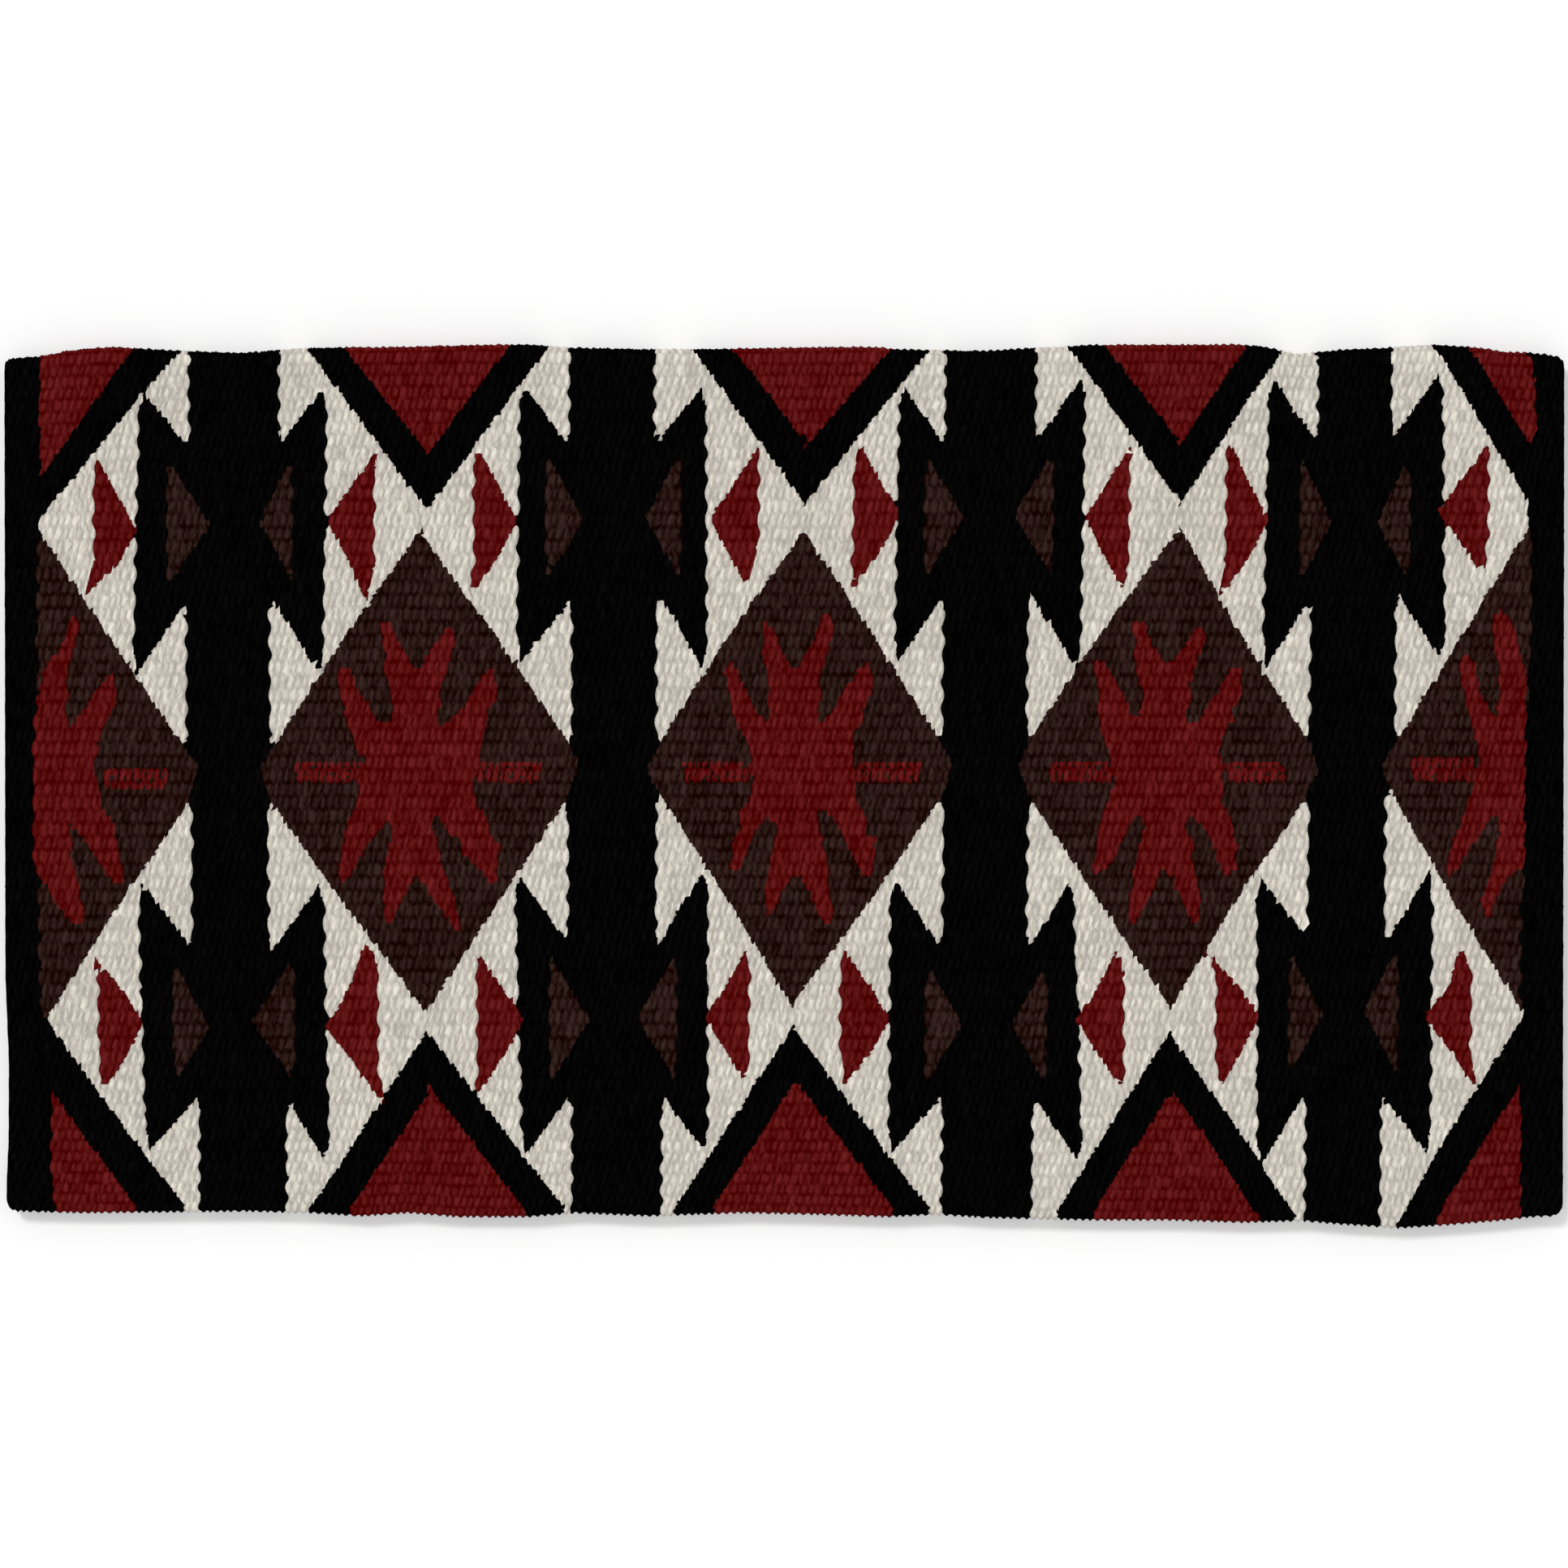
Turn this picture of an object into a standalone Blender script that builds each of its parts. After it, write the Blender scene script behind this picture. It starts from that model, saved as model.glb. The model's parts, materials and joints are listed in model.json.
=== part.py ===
"""Hand-woven wool saddle blanket, folded once over its spine.

The blanket is a thick weft-faced tapestry. Each colour area is its own run of weft, turned back
where it meets its neighbour, so each one is a separate solid as thick as the cloth. The upper leaf
lies on the lower leaf, and the two are joined at the spine by a chain of weft-wrapped warp ribs
that bend on each other when the blanket is opened out flat.

Frame: +X along the spine, +Y towards the fold, +Z up. The origin is at the centre of the
underside. Leaf coordinates are across (along X) and down (from the fold line to the selvedge).
"""
import math

import bmesh
import bpy
from mathutils import Euler, Vector

# Cloth
BLANKET_LENGTH = 0.8636
DROP_EACH_SIDE = 0.4826
CLOTH_THICKNESS = 0.007
WARP_SPACING = 0.0075
WEFT_TURN = 0.0013
SLANT_STEP = 0.015
SEAM_GAP = 0.0003
REST_GAP = 0.0003
CORNER_RADIUS = 0.006
CORNER_STEPS = 4

# Spine ribs
SPINE_RIB_COUNT = 3
SPINE_RIB_PITCH = 0.0054
SPINE_END_DRAW_IN = 0.0045
RIB_CROWN_SHARES = ((0.92, 0.46), (0.62, 0.83), (0.24, 1.0))

# Motif columns: their half width and places, as shares of the blanket's length
MOTIF_HALF_WIDTH_SHARE = 0.0968
COLUMN_TOP_SHARES = (0.0231, 0.2674, 0.5146, 0.7536, 0.9800)
COLUMN_FOOT_SHARES = (0.0249, 0.2728, 0.5020, 0.7446, 0.9701)
LEFT_WIDTH_SHARES = (0.0, 1.07, 0.97, 1.0, 0.92)
RIGHT_WIDTH_SHARES = (1.03, 0.99, 1.005, 0.94, 0.0)

# Outlines of the half motif to the right of its axis. Each point is a share of the motif's half
# width and a share of the leaf's drop. True marks an upright seam, where the wefts turn back
# round the warps by turns and leave a scalloped edge up to the next point.
FOLD_RED_SHARES = ((0.47, 0.0, False), (0.0, 0.105, False))
FOLD_BAND_SHARES = ((0.715, 0.0, False), (0.0, 0.1705, False))
UPPER_SIDE_SHARES = (
    (0.935, 0.0, True), (0.935, 0.0915, False), (0.885, 0.0915, False), (0.635, 0.0285, False),
    (0.618, 0.032, True), (0.618, 0.1780, False))
UPPER_SIDE_FOOT_SHARES = (
    (0.618, 0.1850, True), (0.618, 0.346, False), (0.86, 0.275, False), (0.95, 0.275, True),
    (0.95, 0.4455, False), (0.90, 0.4455, False))
BROWN_POINT_SHARES = ((0.90, 0.4455, False), (1.0, 0.473, False), (0.88, 0.5095, False))
LOWER_SIDE_SHARES = (
    (0.88, 0.5095, False), (0.955, 0.5095, True), (0.955, 0.681, False), (0.86, 0.681, False),
    (0.625, 0.633, True), (0.618, 0.7670, False))
LOWER_SIDE_FOOT_SHARES = (
    (0.618, 0.7740, True), (0.618, 0.905, False), (0.80, 0.862, False), (0.94, 0.862, True),
    (0.94, 1.0, False))
UPPER_LOZENGE_SHARES = (
    (0.618, 0.1780, False), (0.325, 0.103, True), (0.345, 0.261, False), (0.618, 0.1850, False))
LOWER_LOZENGE_SHARES = (
    (0.618, 0.7670, False), (0.315, 0.695, True), (0.315, 0.848, False), (0.618, 0.7740, False))
SELVEDGE_BAND_SHARES = ((0.0, 0.782, False), (0.865, 1.0, False))
SELVEDGE_RED_SHARES = ((0.0, 0.849, False), (0.60, 1.0, False))
BROWN_TOP_SHARE = 0.1995
BROWN_FOOT_SHARE = 0.746
STAR_SHARES = (
    (0.0, 0.339), (0.14, 0.296), (0.26, 0.296), (0.175, 0.424), (0.40, 0.358), (0.52, 0.362),
    (0.34, 0.455), (0.33, 0.502), (0.52, 0.600), (0.41, 0.606), (0.215, 0.531), (0.26, 0.660),
    (0.14, 0.658), (0.0, 0.614))

# Weft colours
BLACK = (0.0016, 0.0015, 0.0014)
WHITE = (0.57, 0.53, 0.47)
RED = (0.16, 0.008, 0.008)
BROWN = (0.030, 0.013, 0.010)
WOOL_ROUGHNESS = 0.95

COLUMN_COUNT = len(COLUMN_TOP_SHARES)
MOTIF_HALF_WIDTH = BLANKET_LENGTH * MOTIF_HALF_WIDTH_SHARE
LEAF_DROP = DROP_EACH_SIDE - SPINE_RIB_COUNT * SPINE_RIB_PITCH / 2
HALF_GAP = SEAM_GAP / 2
HALF_THICKNESS = CLOTH_THICKNESS / 2
LEFT, RIGHT = -1, 1


def clear_scene():
    for old in list(bpy.data.objects):
        bpy.data.objects.remove(old, do_unlink=True)


def collection(name):
    made = bpy.data.collections.new(name)
    bpy.context.scene.collection.children.link(made)
    return made


def wool(name, colour):
    """A matt wool finish of one dyed colour."""
    made = bpy.data.materials.new(name)
    made.use_nodes = True
    shader = made.node_tree.nodes["Principled BSDF"]
    shader.inputs["Base Color"].default_value = (*colour, 1.0)
    shader.inputs["Roughness"].default_value = WOOL_ROUGHNESS
    shader.inputs["Metallic"].default_value = 0.0
    made.diffuse_color = (*colour, 1.0)
    return made


def fold_bend():
    """The bend at each fold line that lays the upper leaf's selvedge on the lower leaf.

    The ribs climb the fold in equal bends. The last of them has to turn the leaf past level by
    the small tilt that lets its selvedge down to the rest gap.
    """
    tilt = 0.0
    for _ in range(20):
        bend = (math.pi + tilt) / (SPINE_RIB_COUNT + 1)
        climb = sum(SPINE_RIB_PITCH * math.sin(bend * (i + 1)) for i in range(SPINE_RIB_COUNT))
        tilt = math.asin((climb - CLOTH_THICKNESS - REST_GAP) / LEAF_DROP)
    return bend


def fold_reach(bend):
    """How far the fold's outer face stands past the first fold line."""
    reach, furthest = 0.0, 0.0
    for i in range(SPINE_RIB_COUNT):
        turn = bend * (i + 1)
        crown = reach + SPINE_RIB_PITCH / 2 * math.cos(turn) + HALF_THICKNESS * math.sin(turn)
        furthest = max(furthest, crown)
        reach += SPINE_RIB_PITCH * math.cos(turn)
    return furthest


def empty(name, parent, place, turn, group):
    made = bpy.data.objects.new(name, None)
    made.empty_display_size = CLOTH_THICKNESS
    made.parent = parent
    made.location = place
    made.rotation_euler = Euler((turn, 0.0, 0.0))
    group.objects.link(made)
    return made


def axis_at(column, down_share):
    """Across place of a motif column's axis, which drifts a little down the leaf."""
    top, foot = COLUMN_TOP_SHARES[column], COLUMN_FOOT_SHARES[column]
    return (top + (foot - top) * down_share - 0.5) * BLANKET_LENGTH


def place(column, side, across_share, down_share):
    widths = LEFT_WIDTH_SHARES if side == LEFT else RIGHT_WIDTH_SHARES
    reach = side * across_share * widths[column] * MOTIF_HALF_WIDTH
    return (axis_at(column, down_share) + reach, down_share * LEAF_DROP)


def scallops(start, end, side):
    """Points of an upright seam: one for each warp, to this side and to that by turns."""
    count = max(2, round(abs(end[1] - start[1]) / WARP_SPACING))
    made = []
    for i in range(1, count):
        share = i / count
        sway = WEFT_TURN * side * (1 if i % 2 else -1)
        made.append((start[0] + (end[0] - start[0]) * share + sway,
                     start[1] + (end[1] - start[1]) * share))
    return made


def seam(column, side, shares):
    """One seam of the cartoon, from its first point to its last, in leaf coordinates."""
    made = []
    for i, (across, down, scalloped) in enumerate(shares):
        here = place(column, side, across, down)
        made.append(here)
        if scalloped:
            nearer = place(column, side, shares[i + 1][0], shares[i + 1][1])
            made += scallops(here, nearer, side)
    return made


def axis_point(column, down_share):
    return (axis_at(column, down_share), down_share * LEAF_DROP)


def axis_seam(column, top_share, foot_share, side):
    """The upright seam between an end border and the half motif beside it, listed downwards."""
    top, foot = axis_point(column, top_share), axis_point(column, foot_share)
    return [top] + scallops(top, foot, side) + [foot]


def stepped(outline):
    """The outline with a point at each step of its slanting seams."""
    corners = [Vector(p) for p in outline]
    made = []
    for here, there in zip(corners, corners[1:] + corners[:1]):
        count = max(1, round((there - here).length / SLANT_STEP))
        made += [here.lerp(there, i / count) for i in range(count)]
    return made


def inset(outline, amount):
    """The outline drawn in by an amount, so that neighbours keep the seam gap."""
    corners = stepped(outline)
    points = [p for i, p in enumerate(corners) if (p - corners[i - 1]).length > amount]
    area = sum(a.cross(b) for a, b in zip(points, points[1:] + points[:1]))
    sign = 1.0 if area > 0 else -1.0
    made = []
    for i, here in enumerate(points):
        into = (here - points[i - 1]).normalized()
        away = (points[(i + 1) % len(points)] - here).normalized()
        first = Vector((-into.y, into.x)) * sign
        second = Vector((-away.y, away.x)) * sign
        made.append(here + (first + second) * amount / (1.0 + first.dot(second)))
    return made


def woven_area(name, outline, finish, parent, group, down_sign=1, window=None):
    """A colour area: its outline, as thick as the cloth, with the neighbours' gap drawn in."""
    curve = bpy.data.curves.new(name, "CURVE")
    curve.dimensions = "2D"
    curve.fill_mode = "BOTH"
    curve.extrude = HALF_THICKNESS
    loops = [inset(outline, HALF_GAP)]
    if window:
        loops.append(inset(window, -HALF_GAP))
    for loop in loops:
        spline = curve.splines.new("POLY")
        spline.points.add(len(loop) - 1)
        for point, corner in zip(spline.points, loop):
            point.co = (corner.x, corner.y * down_sign, 0.0, 1.0)
        spline.use_cyclic_u = True
    made = bpy.data.objects.new(name, curve)
    made.parent = parent
    group.objects.link(made)
    curve.materials.append(finish)
    return made


def fold_edge_bevel(solid, bend, group, down_sign=1):
    """Cut a leaf's inner fold edge back to the plane that halves the bend."""
    bpy.context.view_layer.update()
    evaluated = solid.evaluated_get(bpy.context.evaluated_depsgraph_get())
    mesh = bpy.data.meshes.new_from_object(evaluated)
    work = bmesh.new()
    work.from_mesh(mesh)
    bmesh.ops.remove_doubles(work, verts=work.verts, dist=HALF_GAP / 10)
    normal = Vector((0.0, -down_sign * math.cos(bend / 2), math.sin(bend / 2)))
    cut = bmesh.ops.bisect_plane(
        work, geom=work.verts[:] + work.edges[:] + work.faces[:], dist=HALF_GAP / 100,
        plane_co=Vector((0.0, down_sign * HALF_GAP, 0.0)), plane_no=normal, clear_outer=True)
    rim = [e for e in cut["geom_cut"] if isinstance(e, bmesh.types.BMEdge)]
    bmesh.ops.holes_fill(work, edges=rim, sides=0)
    bmesh.ops.recalc_face_normals(work, faces=work.faces)
    work.to_mesh(mesh)
    work.free()
    made = bpy.data.objects.new(solid.name + "_cut", mesh)
    made.parent = solid.parent
    group.objects.link(made)
    name = solid.name
    bpy.data.objects.remove(solid, do_unlink=True)
    made.name = name
    mesh.name = name
    return made


def side_chain(column, side, with_notch):
    """The seam between white and black beside the upper cross, with or without the notch in
    the white area that the red lozenge fills."""
    chain = seam(column, side, UPPER_SIDE_SHARES)
    if with_notch:
        chain += seam(column, side, UPPER_LOZENGE_SHARES)[1:-1]
    return chain + seam(column, side, UPPER_SIDE_FOOT_SHARES)


def lower_side_chain(column, side, with_notch):
    """The same seam beside the lower cross."""
    chain = seam(column, side, LOWER_SIDE_SHARES)
    if with_notch:
        chain += seam(column, side, LOWER_LOZENGE_SHARES)[1:-1]
    return chain + seam(column, side, LOWER_SIDE_FOOT_SHARES)


def past_selvedge(outline):
    """Moves what lies on the leaf's outer edges out by half the seam gap, which inset takes off."""
    made = []
    for across, down in outline:
        if abs(down - LEAF_DROP) < HALF_GAP:
            down += HALF_GAP
        if abs(abs(across) - BLANKET_LENGTH / 2) < HALF_GAP:
            across += math.copysign(HALF_GAP, across)
        made.append((across, down))
    return made


def sides_of(column):
    """The sides of its axis that a column shows: both, or one at the ends of the blanket."""
    return [side for side, widths in ((RIGHT, RIGHT_WIDTH_SHARES), (LEFT, LEFT_WIDTH_SHARES))
            if widths[column] > 0]


def white_upper(column):
    """The white cross between the fold and the brown diamond."""
    halves = [seam(column, side, FOLD_BAND_SHARES)[::-1] + side_chain(column, side, True)
              for side in sides_of(column)]
    right_way = halves[0] + [axis_point(column, BROWN_TOP_SHARE)]
    return right_way + halves[1][:0:-1] if len(halves) == 2 else right_way


def white_lower(column):
    """The white cross between the brown diamond and the selvedge."""
    halves = [lower_side_chain(column, side, True) + seam(column, side, SELVEDGE_BAND_SHARES)[::-1]
              for side in sides_of(column)]
    right_way = [axis_point(column, BROWN_FOOT_SHARE)] + halves[0]
    return right_way + halves[1][-2::-1] if len(halves) == 2 else right_way


def brown_diamond(column):
    """The diamond in the middle of the column, or half of it against an end border."""
    sides = sides_of(column)
    halves = [seam(column, side, BROWN_POINT_SHARES) for side in sides]
    if len(sides) == 2:
        return ([axis_point(column, BROWN_TOP_SHARE)] + halves[0]
                + [axis_point(column, BROWN_FOOT_SHARE)] + halves[1][::-1])
    return halves[0] + axis_seam(column, BROWN_TOP_SHARE, BROWN_FOOT_SHARE, sides[0])[::-1]


def star(column):
    """The four-armed red figure in the middle of a whole diamond."""
    right = [place(column, RIGHT, across, down) for across, down in STAR_SHARES]
    left = [place(column, LEFT, across, down) for across, down in STAR_SHARES[1:-1]]
    return right + left[::-1]


def triangle(column, shares, edge_share):
    """A red half diamond that the fold line or the selvedge cuts off at its widest."""
    sides = sides_of(column)
    halves = [seam(column, side, shares) for side in sides]
    tip = shares[-1] if edge_share == 0.0 else shares[0]
    if len(sides) == 2:
        wide = [half[0] if edge_share == 0.0 else half[-1] for half in halves]
        return [wide[0], axis_point(column, tip[1]), wide[1]]
    if edge_share < tip[1]:
        return halves[0][:1] + axis_seam(column, edge_share, tip[1], sides[0])[::-1]
    return halves[0][-1:] + axis_seam(column, tip[1], edge_share, sides[0])


def chevron(column, outer_shares, inner_shares):
    """A black band that runs round a red half diamond, down one side of it and up the other."""
    right_outer, right_inner = (seam(column, RIGHT, s) for s in (outer_shares, inner_shares))
    left_outer, left_inner = (seam(column, LEFT, s) for s in (outer_shares, inner_shares))
    if outer_shares[-1][0] == 0.0:
        return [right_inner[0], right_outer[0], right_outer[1], left_outer[0], left_inner[0],
                right_inner[1]]
    return [right_inner[1], right_outer[1], right_outer[0], left_outer[1], left_inner[1],
            right_inner[0]]


def spine_band(column):
    """The black ground between two motif columns, from the fold line to the selvedge."""
    near = (side_chain(column, RIGHT, False) + seam(column, RIGHT, BROWN_POINT_SHARES)[1:-1]
            + lower_side_chain(column, RIGHT, False))
    far = (side_chain(column + 1, LEFT, False) + seam(column + 1, LEFT, BROWN_POINT_SHARES)[1:-1]
           + lower_side_chain(column + 1, LEFT, False))
    return near + far[::-1]


def corner_arc(across_sign, down, down_sign):
    """A rounded corner of the cloth, in plan."""
    centre = (across_sign * (BLANKET_LENGTH / 2 - CORNER_RADIUS), down - down_sign * CORNER_RADIUS)
    made = []
    for i in range(CORNER_STEPS + 1):
        turn = math.pi / 2 * i / CORNER_STEPS
        made.append((centre[0] + across_sign * CORNER_RADIUS * math.cos(turn),
                     centre[1] + down_sign * CORNER_RADIUS * math.sin(turn)))
    return made


def end_border(column, side):
    """The black end of the leaf with the half bands that run in from it at fold and selvedge."""
    red_tip = FOLD_RED_SHARES[-1][1]
    band_tip = FOLD_BAND_SHARES[-1][1]
    low_band_tip = SELVEDGE_BAND_SHARES[0][1]
    low_red_tip = SELVEDGE_RED_SHARES[0][1]
    inner = axis_seam(column, 0.0, red_tip, side)
    inner += seam(column, side, FOLD_RED_SHARES)[:1]
    inner += seam(column, side, FOLD_BAND_SHARES)
    inner += axis_seam(column, BROWN_TOP_SHARE, BROWN_FOOT_SHARE, side)
    inner += seam(column, side, SELVEDGE_BAND_SHARES)
    inner += seam(column, side, SELVEDGE_RED_SHARES)[::-1][:1]
    inner += axis_seam(column, low_red_tip, 1.0, side)
    assert band_tip < BROWN_TOP_SHARE < BROWN_FOOT_SHARE < low_band_tip
    outer_sign = -side
    foot = corner_arc(outer_sign, LEAF_DROP + HALF_GAP, 1)[::-1]
    head = corner_arc(outer_sign, 0.0, -1)
    return inner + foot + head


def upper_leaf(parent, bend, finishes, group):
    """All the colour areas of the leaf that lies on top."""
    at_fold = []

    def area(name, outline, finish, window=None, touches_fold=False):
        made = woven_area(name, past_selvedge(outline), finishes[finish], parent, group,
                          window=window)
        if touches_fold:
            at_fold.append(made)

    for column in range(COLUMN_COUNT):
        number = column + 1
        sides = sides_of(column)
        area(f"fold_red_{number}", triangle(column, FOLD_RED_SHARES, 0.0), "red",
             touches_fold=True)
        area(f"selvedge_red_{number}", triangle(column, SELVEDGE_RED_SHARES, 1.0), "red")
        area(f"upper_white_{number}", white_upper(column), "white", touches_fold=True)
        area(f"lower_white_{number}", white_lower(column), "white")
        if len(sides) == 2:
            area(f"fold_band_{number}", chevron(column, FOLD_BAND_SHARES, FOLD_RED_SHARES),
                 "black", touches_fold=True)
            area(f"selvedge_band_{number}",
                 chevron(column, SELVEDGE_BAND_SHARES, SELVEDGE_RED_SHARES), "black")
            area(f"brown_diamond_{number}", brown_diamond(column), "brown", window=star(column))
            area(f"red_star_{number}", star(column), "red")
        else:
            area(f"brown_diamond_{number}", brown_diamond(column), "brown")
            area(f"end_border_{number}", end_border(column, sides[0]), "black",
                 touches_fold=True)
        for side in sides:
            mark = "left" if side == LEFT else "right"
            area(f"upper_lozenge_{number}_{mark}", seam(column, side, UPPER_LOZENGE_SHARES),
                 "red")
            area(f"lower_lozenge_{number}_{mark}", seam(column, side, LOWER_LOZENGE_SHARES),
                 "red")
    for column in range(COLUMN_COUNT - 1):
        area(f"spine_band_{column + 1}", spine_band(column), "black", touches_fold=True)
    for solid in at_fold:
        fold_edge_bevel(solid, bend, group)


def lower_leaf(parent, bend, finishes, group):
    """The leaf underneath, woven like the upper one and left whole."""
    outline = (corner_arc(RIGHT, 0.0, -1)[::-1] + corner_arc(RIGHT, LEAF_DROP + HALF_GAP, 1)
               + corner_arc(LEFT, LEAF_DROP + HALF_GAP, 1)[::-1] + corner_arc(LEFT, 0.0, -1))
    leaf = woven_area("lower_leaf", past_selvedge(outline), finishes["black"], parent, group,
                      down_sign=-1)
    fold_edge_bevel(leaf, bend, group, down_sign=-1)


def spine_rib(number, parent, bend, finishes, group):
    """A warp with its weft round it: crowned outside, drawn in to the halved bend inside."""
    half_width = (SPINE_RIB_PITCH - SEAM_GAP) / 2
    foot = half_width - HALF_THICKNESS * math.tan(bend / 2)
    right_side = [(half_width, 0.0)]
    right_side += [(half_width * w, -HALF_THICKNESS * h) for w, h in RIB_CROWN_SHARES]
    section = [(foot, HALF_THICKNESS)] + right_side
    section += [(-y, z) for y, z in reversed(section)]
    middle = (SPINE_RIB_COUNT + 1) / 2
    nearness = 1.0 - abs(number - middle) / middle
    half_length = BLANKET_LENGTH / 2 - SPINE_END_DRAW_IN * nearness
    name = f"spine_rib_{number}"
    curve = bpy.data.curves.new(name, "CURVE")
    curve.dimensions = "2D"
    curve.fill_mode = "BOTH"
    curve.extrude = half_length
    spline = curve.splines.new("POLY")
    spline.points.add(len(section) - 1)
    for point, (along, out) in zip(spline.points, section):
        point.co = (along, out, 0.0, 1.0)
    spline.use_cyclic_u = True
    curve.materials.append(finishes["black"])
    made = bpy.data.objects.new(name, curve)
    made.parent = parent
    made.location = (0.0, SPINE_RIB_PITCH / 2, 0.0)
    made.rotation_euler = Euler((math.pi / 2, 0.0, math.pi / 2))
    group.objects.link(made)


def main():
    clear_scene()
    group = collection("saddle_blanket")
    finishes = {
        "black": wool("wool_black", BLACK),
        "white": wool("wool_white", WHITE),
        "red": wool("wool_red", RED),
        "brown": wool("wool_brown", BROWN),
    }
    bend = fold_bend()
    fold_y = (LEAF_DROP - fold_reach(bend)) / 2
    root = empty("lower_leaf_frame", None, (0.0, fold_y, HALF_THICKNESS), 0.0, group)
    lower_leaf(root, bend, finishes, group)
    carrier, step = root, 0.0
    for number in range(1, SPINE_RIB_COUNT + 1):
        carrier = empty(f"spine_fold_{number}", carrier, (0.0, step, 0.0), bend, group)
        step = SPINE_RIB_PITCH
        spine_rib(number, carrier, bend, finishes, group)
    carrier = empty(f"spine_fold_{SPINE_RIB_COUNT + 1}", carrier, (0.0, step, 0.0), bend, group)
    upper_leaf(carrier, bend, finishes, group)
    print("bend", math.degrees(bend), "fold line y", fold_y)


main()
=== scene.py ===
"""Hand-woven wool saddle blanket, folded once over its spine: the woven look.

The cloth is one lattice of beads. A bead is one pass of thick weft over one warp, and the beads of
neighbouring rows stand half a bead apart, as in a plain weave beaten up until no warp shows. The
lattice runs from the upper leaf's selvedge, over the fold, to the lower leaf's selvedge. Each
colour area of the pattern takes its own beads from it, and is its own closed piece.

Cloth coordinates: across is along +X from the blanket's middle, along is the way the wefts run,
measured on the cloth's middle surface from the crown of the fold (the upper leaf is negative), and
out is the distance from the middle surface towards the face that shows.
"""
import json
import math
from collections import namedtuple

import bpy
import numpy as np
from bpy.props import FloatProperty, FloatVectorProperty, IntProperty, PointerProperty
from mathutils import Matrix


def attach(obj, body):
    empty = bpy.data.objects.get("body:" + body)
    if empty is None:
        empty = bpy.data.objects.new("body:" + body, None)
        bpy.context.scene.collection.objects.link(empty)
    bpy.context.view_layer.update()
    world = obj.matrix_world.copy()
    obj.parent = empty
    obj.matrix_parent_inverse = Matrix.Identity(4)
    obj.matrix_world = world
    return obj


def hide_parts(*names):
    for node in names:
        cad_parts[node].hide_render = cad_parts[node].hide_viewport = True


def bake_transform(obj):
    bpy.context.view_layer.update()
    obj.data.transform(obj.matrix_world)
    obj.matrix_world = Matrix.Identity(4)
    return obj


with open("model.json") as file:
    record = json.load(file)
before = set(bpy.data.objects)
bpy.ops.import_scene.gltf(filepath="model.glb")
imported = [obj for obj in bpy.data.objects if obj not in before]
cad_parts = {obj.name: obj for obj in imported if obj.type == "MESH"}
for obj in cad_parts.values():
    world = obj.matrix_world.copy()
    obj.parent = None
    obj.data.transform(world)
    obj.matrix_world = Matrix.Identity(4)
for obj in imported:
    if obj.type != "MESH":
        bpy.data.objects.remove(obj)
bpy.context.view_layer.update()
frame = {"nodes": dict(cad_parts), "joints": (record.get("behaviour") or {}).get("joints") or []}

bl_info = {
    "name": "Woven Saddle Blanket",
    "version": (1, 0, 0),
    "blender": (4, 5, 0),
    "location": "View3D > Sidebar > Blanket",
    "description": "Weaves a folded wool saddle blanket bead by bead",
    "category": "Object",
}

# The photograph's frame, and what one of its pixels measures on the blanket
IMAGE_SIDE = 1932
PIXEL = 0.0004493
MIDDLE_PIXEL = 966.5
FOLD_PIXEL = 444.0
SELVEDGE_PIXEL = 1498.0

# Hinges of the fold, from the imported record
HINGES = {joint["name"]: joint for joint in frame["joints"]}
FIRST_HINGE = HINGES["spine_fold_1"]["pos_m"]
FOLD_BEND = math.radians(45.17248)
FOLD_TURN = 4 * FOLD_BEND

# Motif axes at the fold and at the selvedge, in the photograph's pixels
AXES_TOP = np.array([50.0, 521.0, 990.0, 1451.0, 1885.0])
AXES_FOOT = np.array([50.0, 527.0, 976.0, 1441.0, 1875.0])
AXES = (AXES_TOP + AXES_FOOT) / 2
LEFT, RIGHT = -1, 1

# The two long edges wander: how far each stands out past its mean line, in pixels
FOLD_EDGE = np.array([
    (5, -14), (33, -11), (50, -9.5), (83, -2.5), (110, 0), (140, 2), (205, -2), (300, -5.5),
    (380, 1), (500, 2), (590, 4.5), (650, 5), (700, 1), (800, -1), (860, -1), (980, 1.5),
    (1070, 2), (1100, -1), (1205, -3), (1340, 4.5), (1520, 5), (1550, 3), (1595, -7),
    (1655, -1), (1700, 1), (1765, 5), (1820, 1), (1850, -4), (1880, -5), (1910, -8), (1928, -12)])
SELVEDGE_EDGE = np.array([
    (5, -6), (20, -6), (100, -4), (300, -6), (380, -4), (440, 0), (500, -4), (560, 1), (650, 1),
    (710, -4), (800, 0), (920, -4), (1010, -2), (1100, 1), (1160, -2), (1220, 2), (1355, 5),
    (1445, 5), (1535, 8), (1610, 6), (1655, 10), (1730, 15), (1790, 11), (1850, 6), (1895, 1),
    (1928, 0)])
END_EDGE = np.array([(444, 0), (1200, 0), (1300, 4), (1400, 3.5), (1460, 1), (1498, 1)])

# How tall a row of beads is at some heights, both in pixels
PITCH_HEIGHTS = np.array([450, 470, 545, 600, 1350, 1400, 1465, 1498.0])
PITCHES = np.array([13.0, 14.2, 15.2, 16.5, 16.4, 14.2, 13.2, 12.0])

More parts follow.
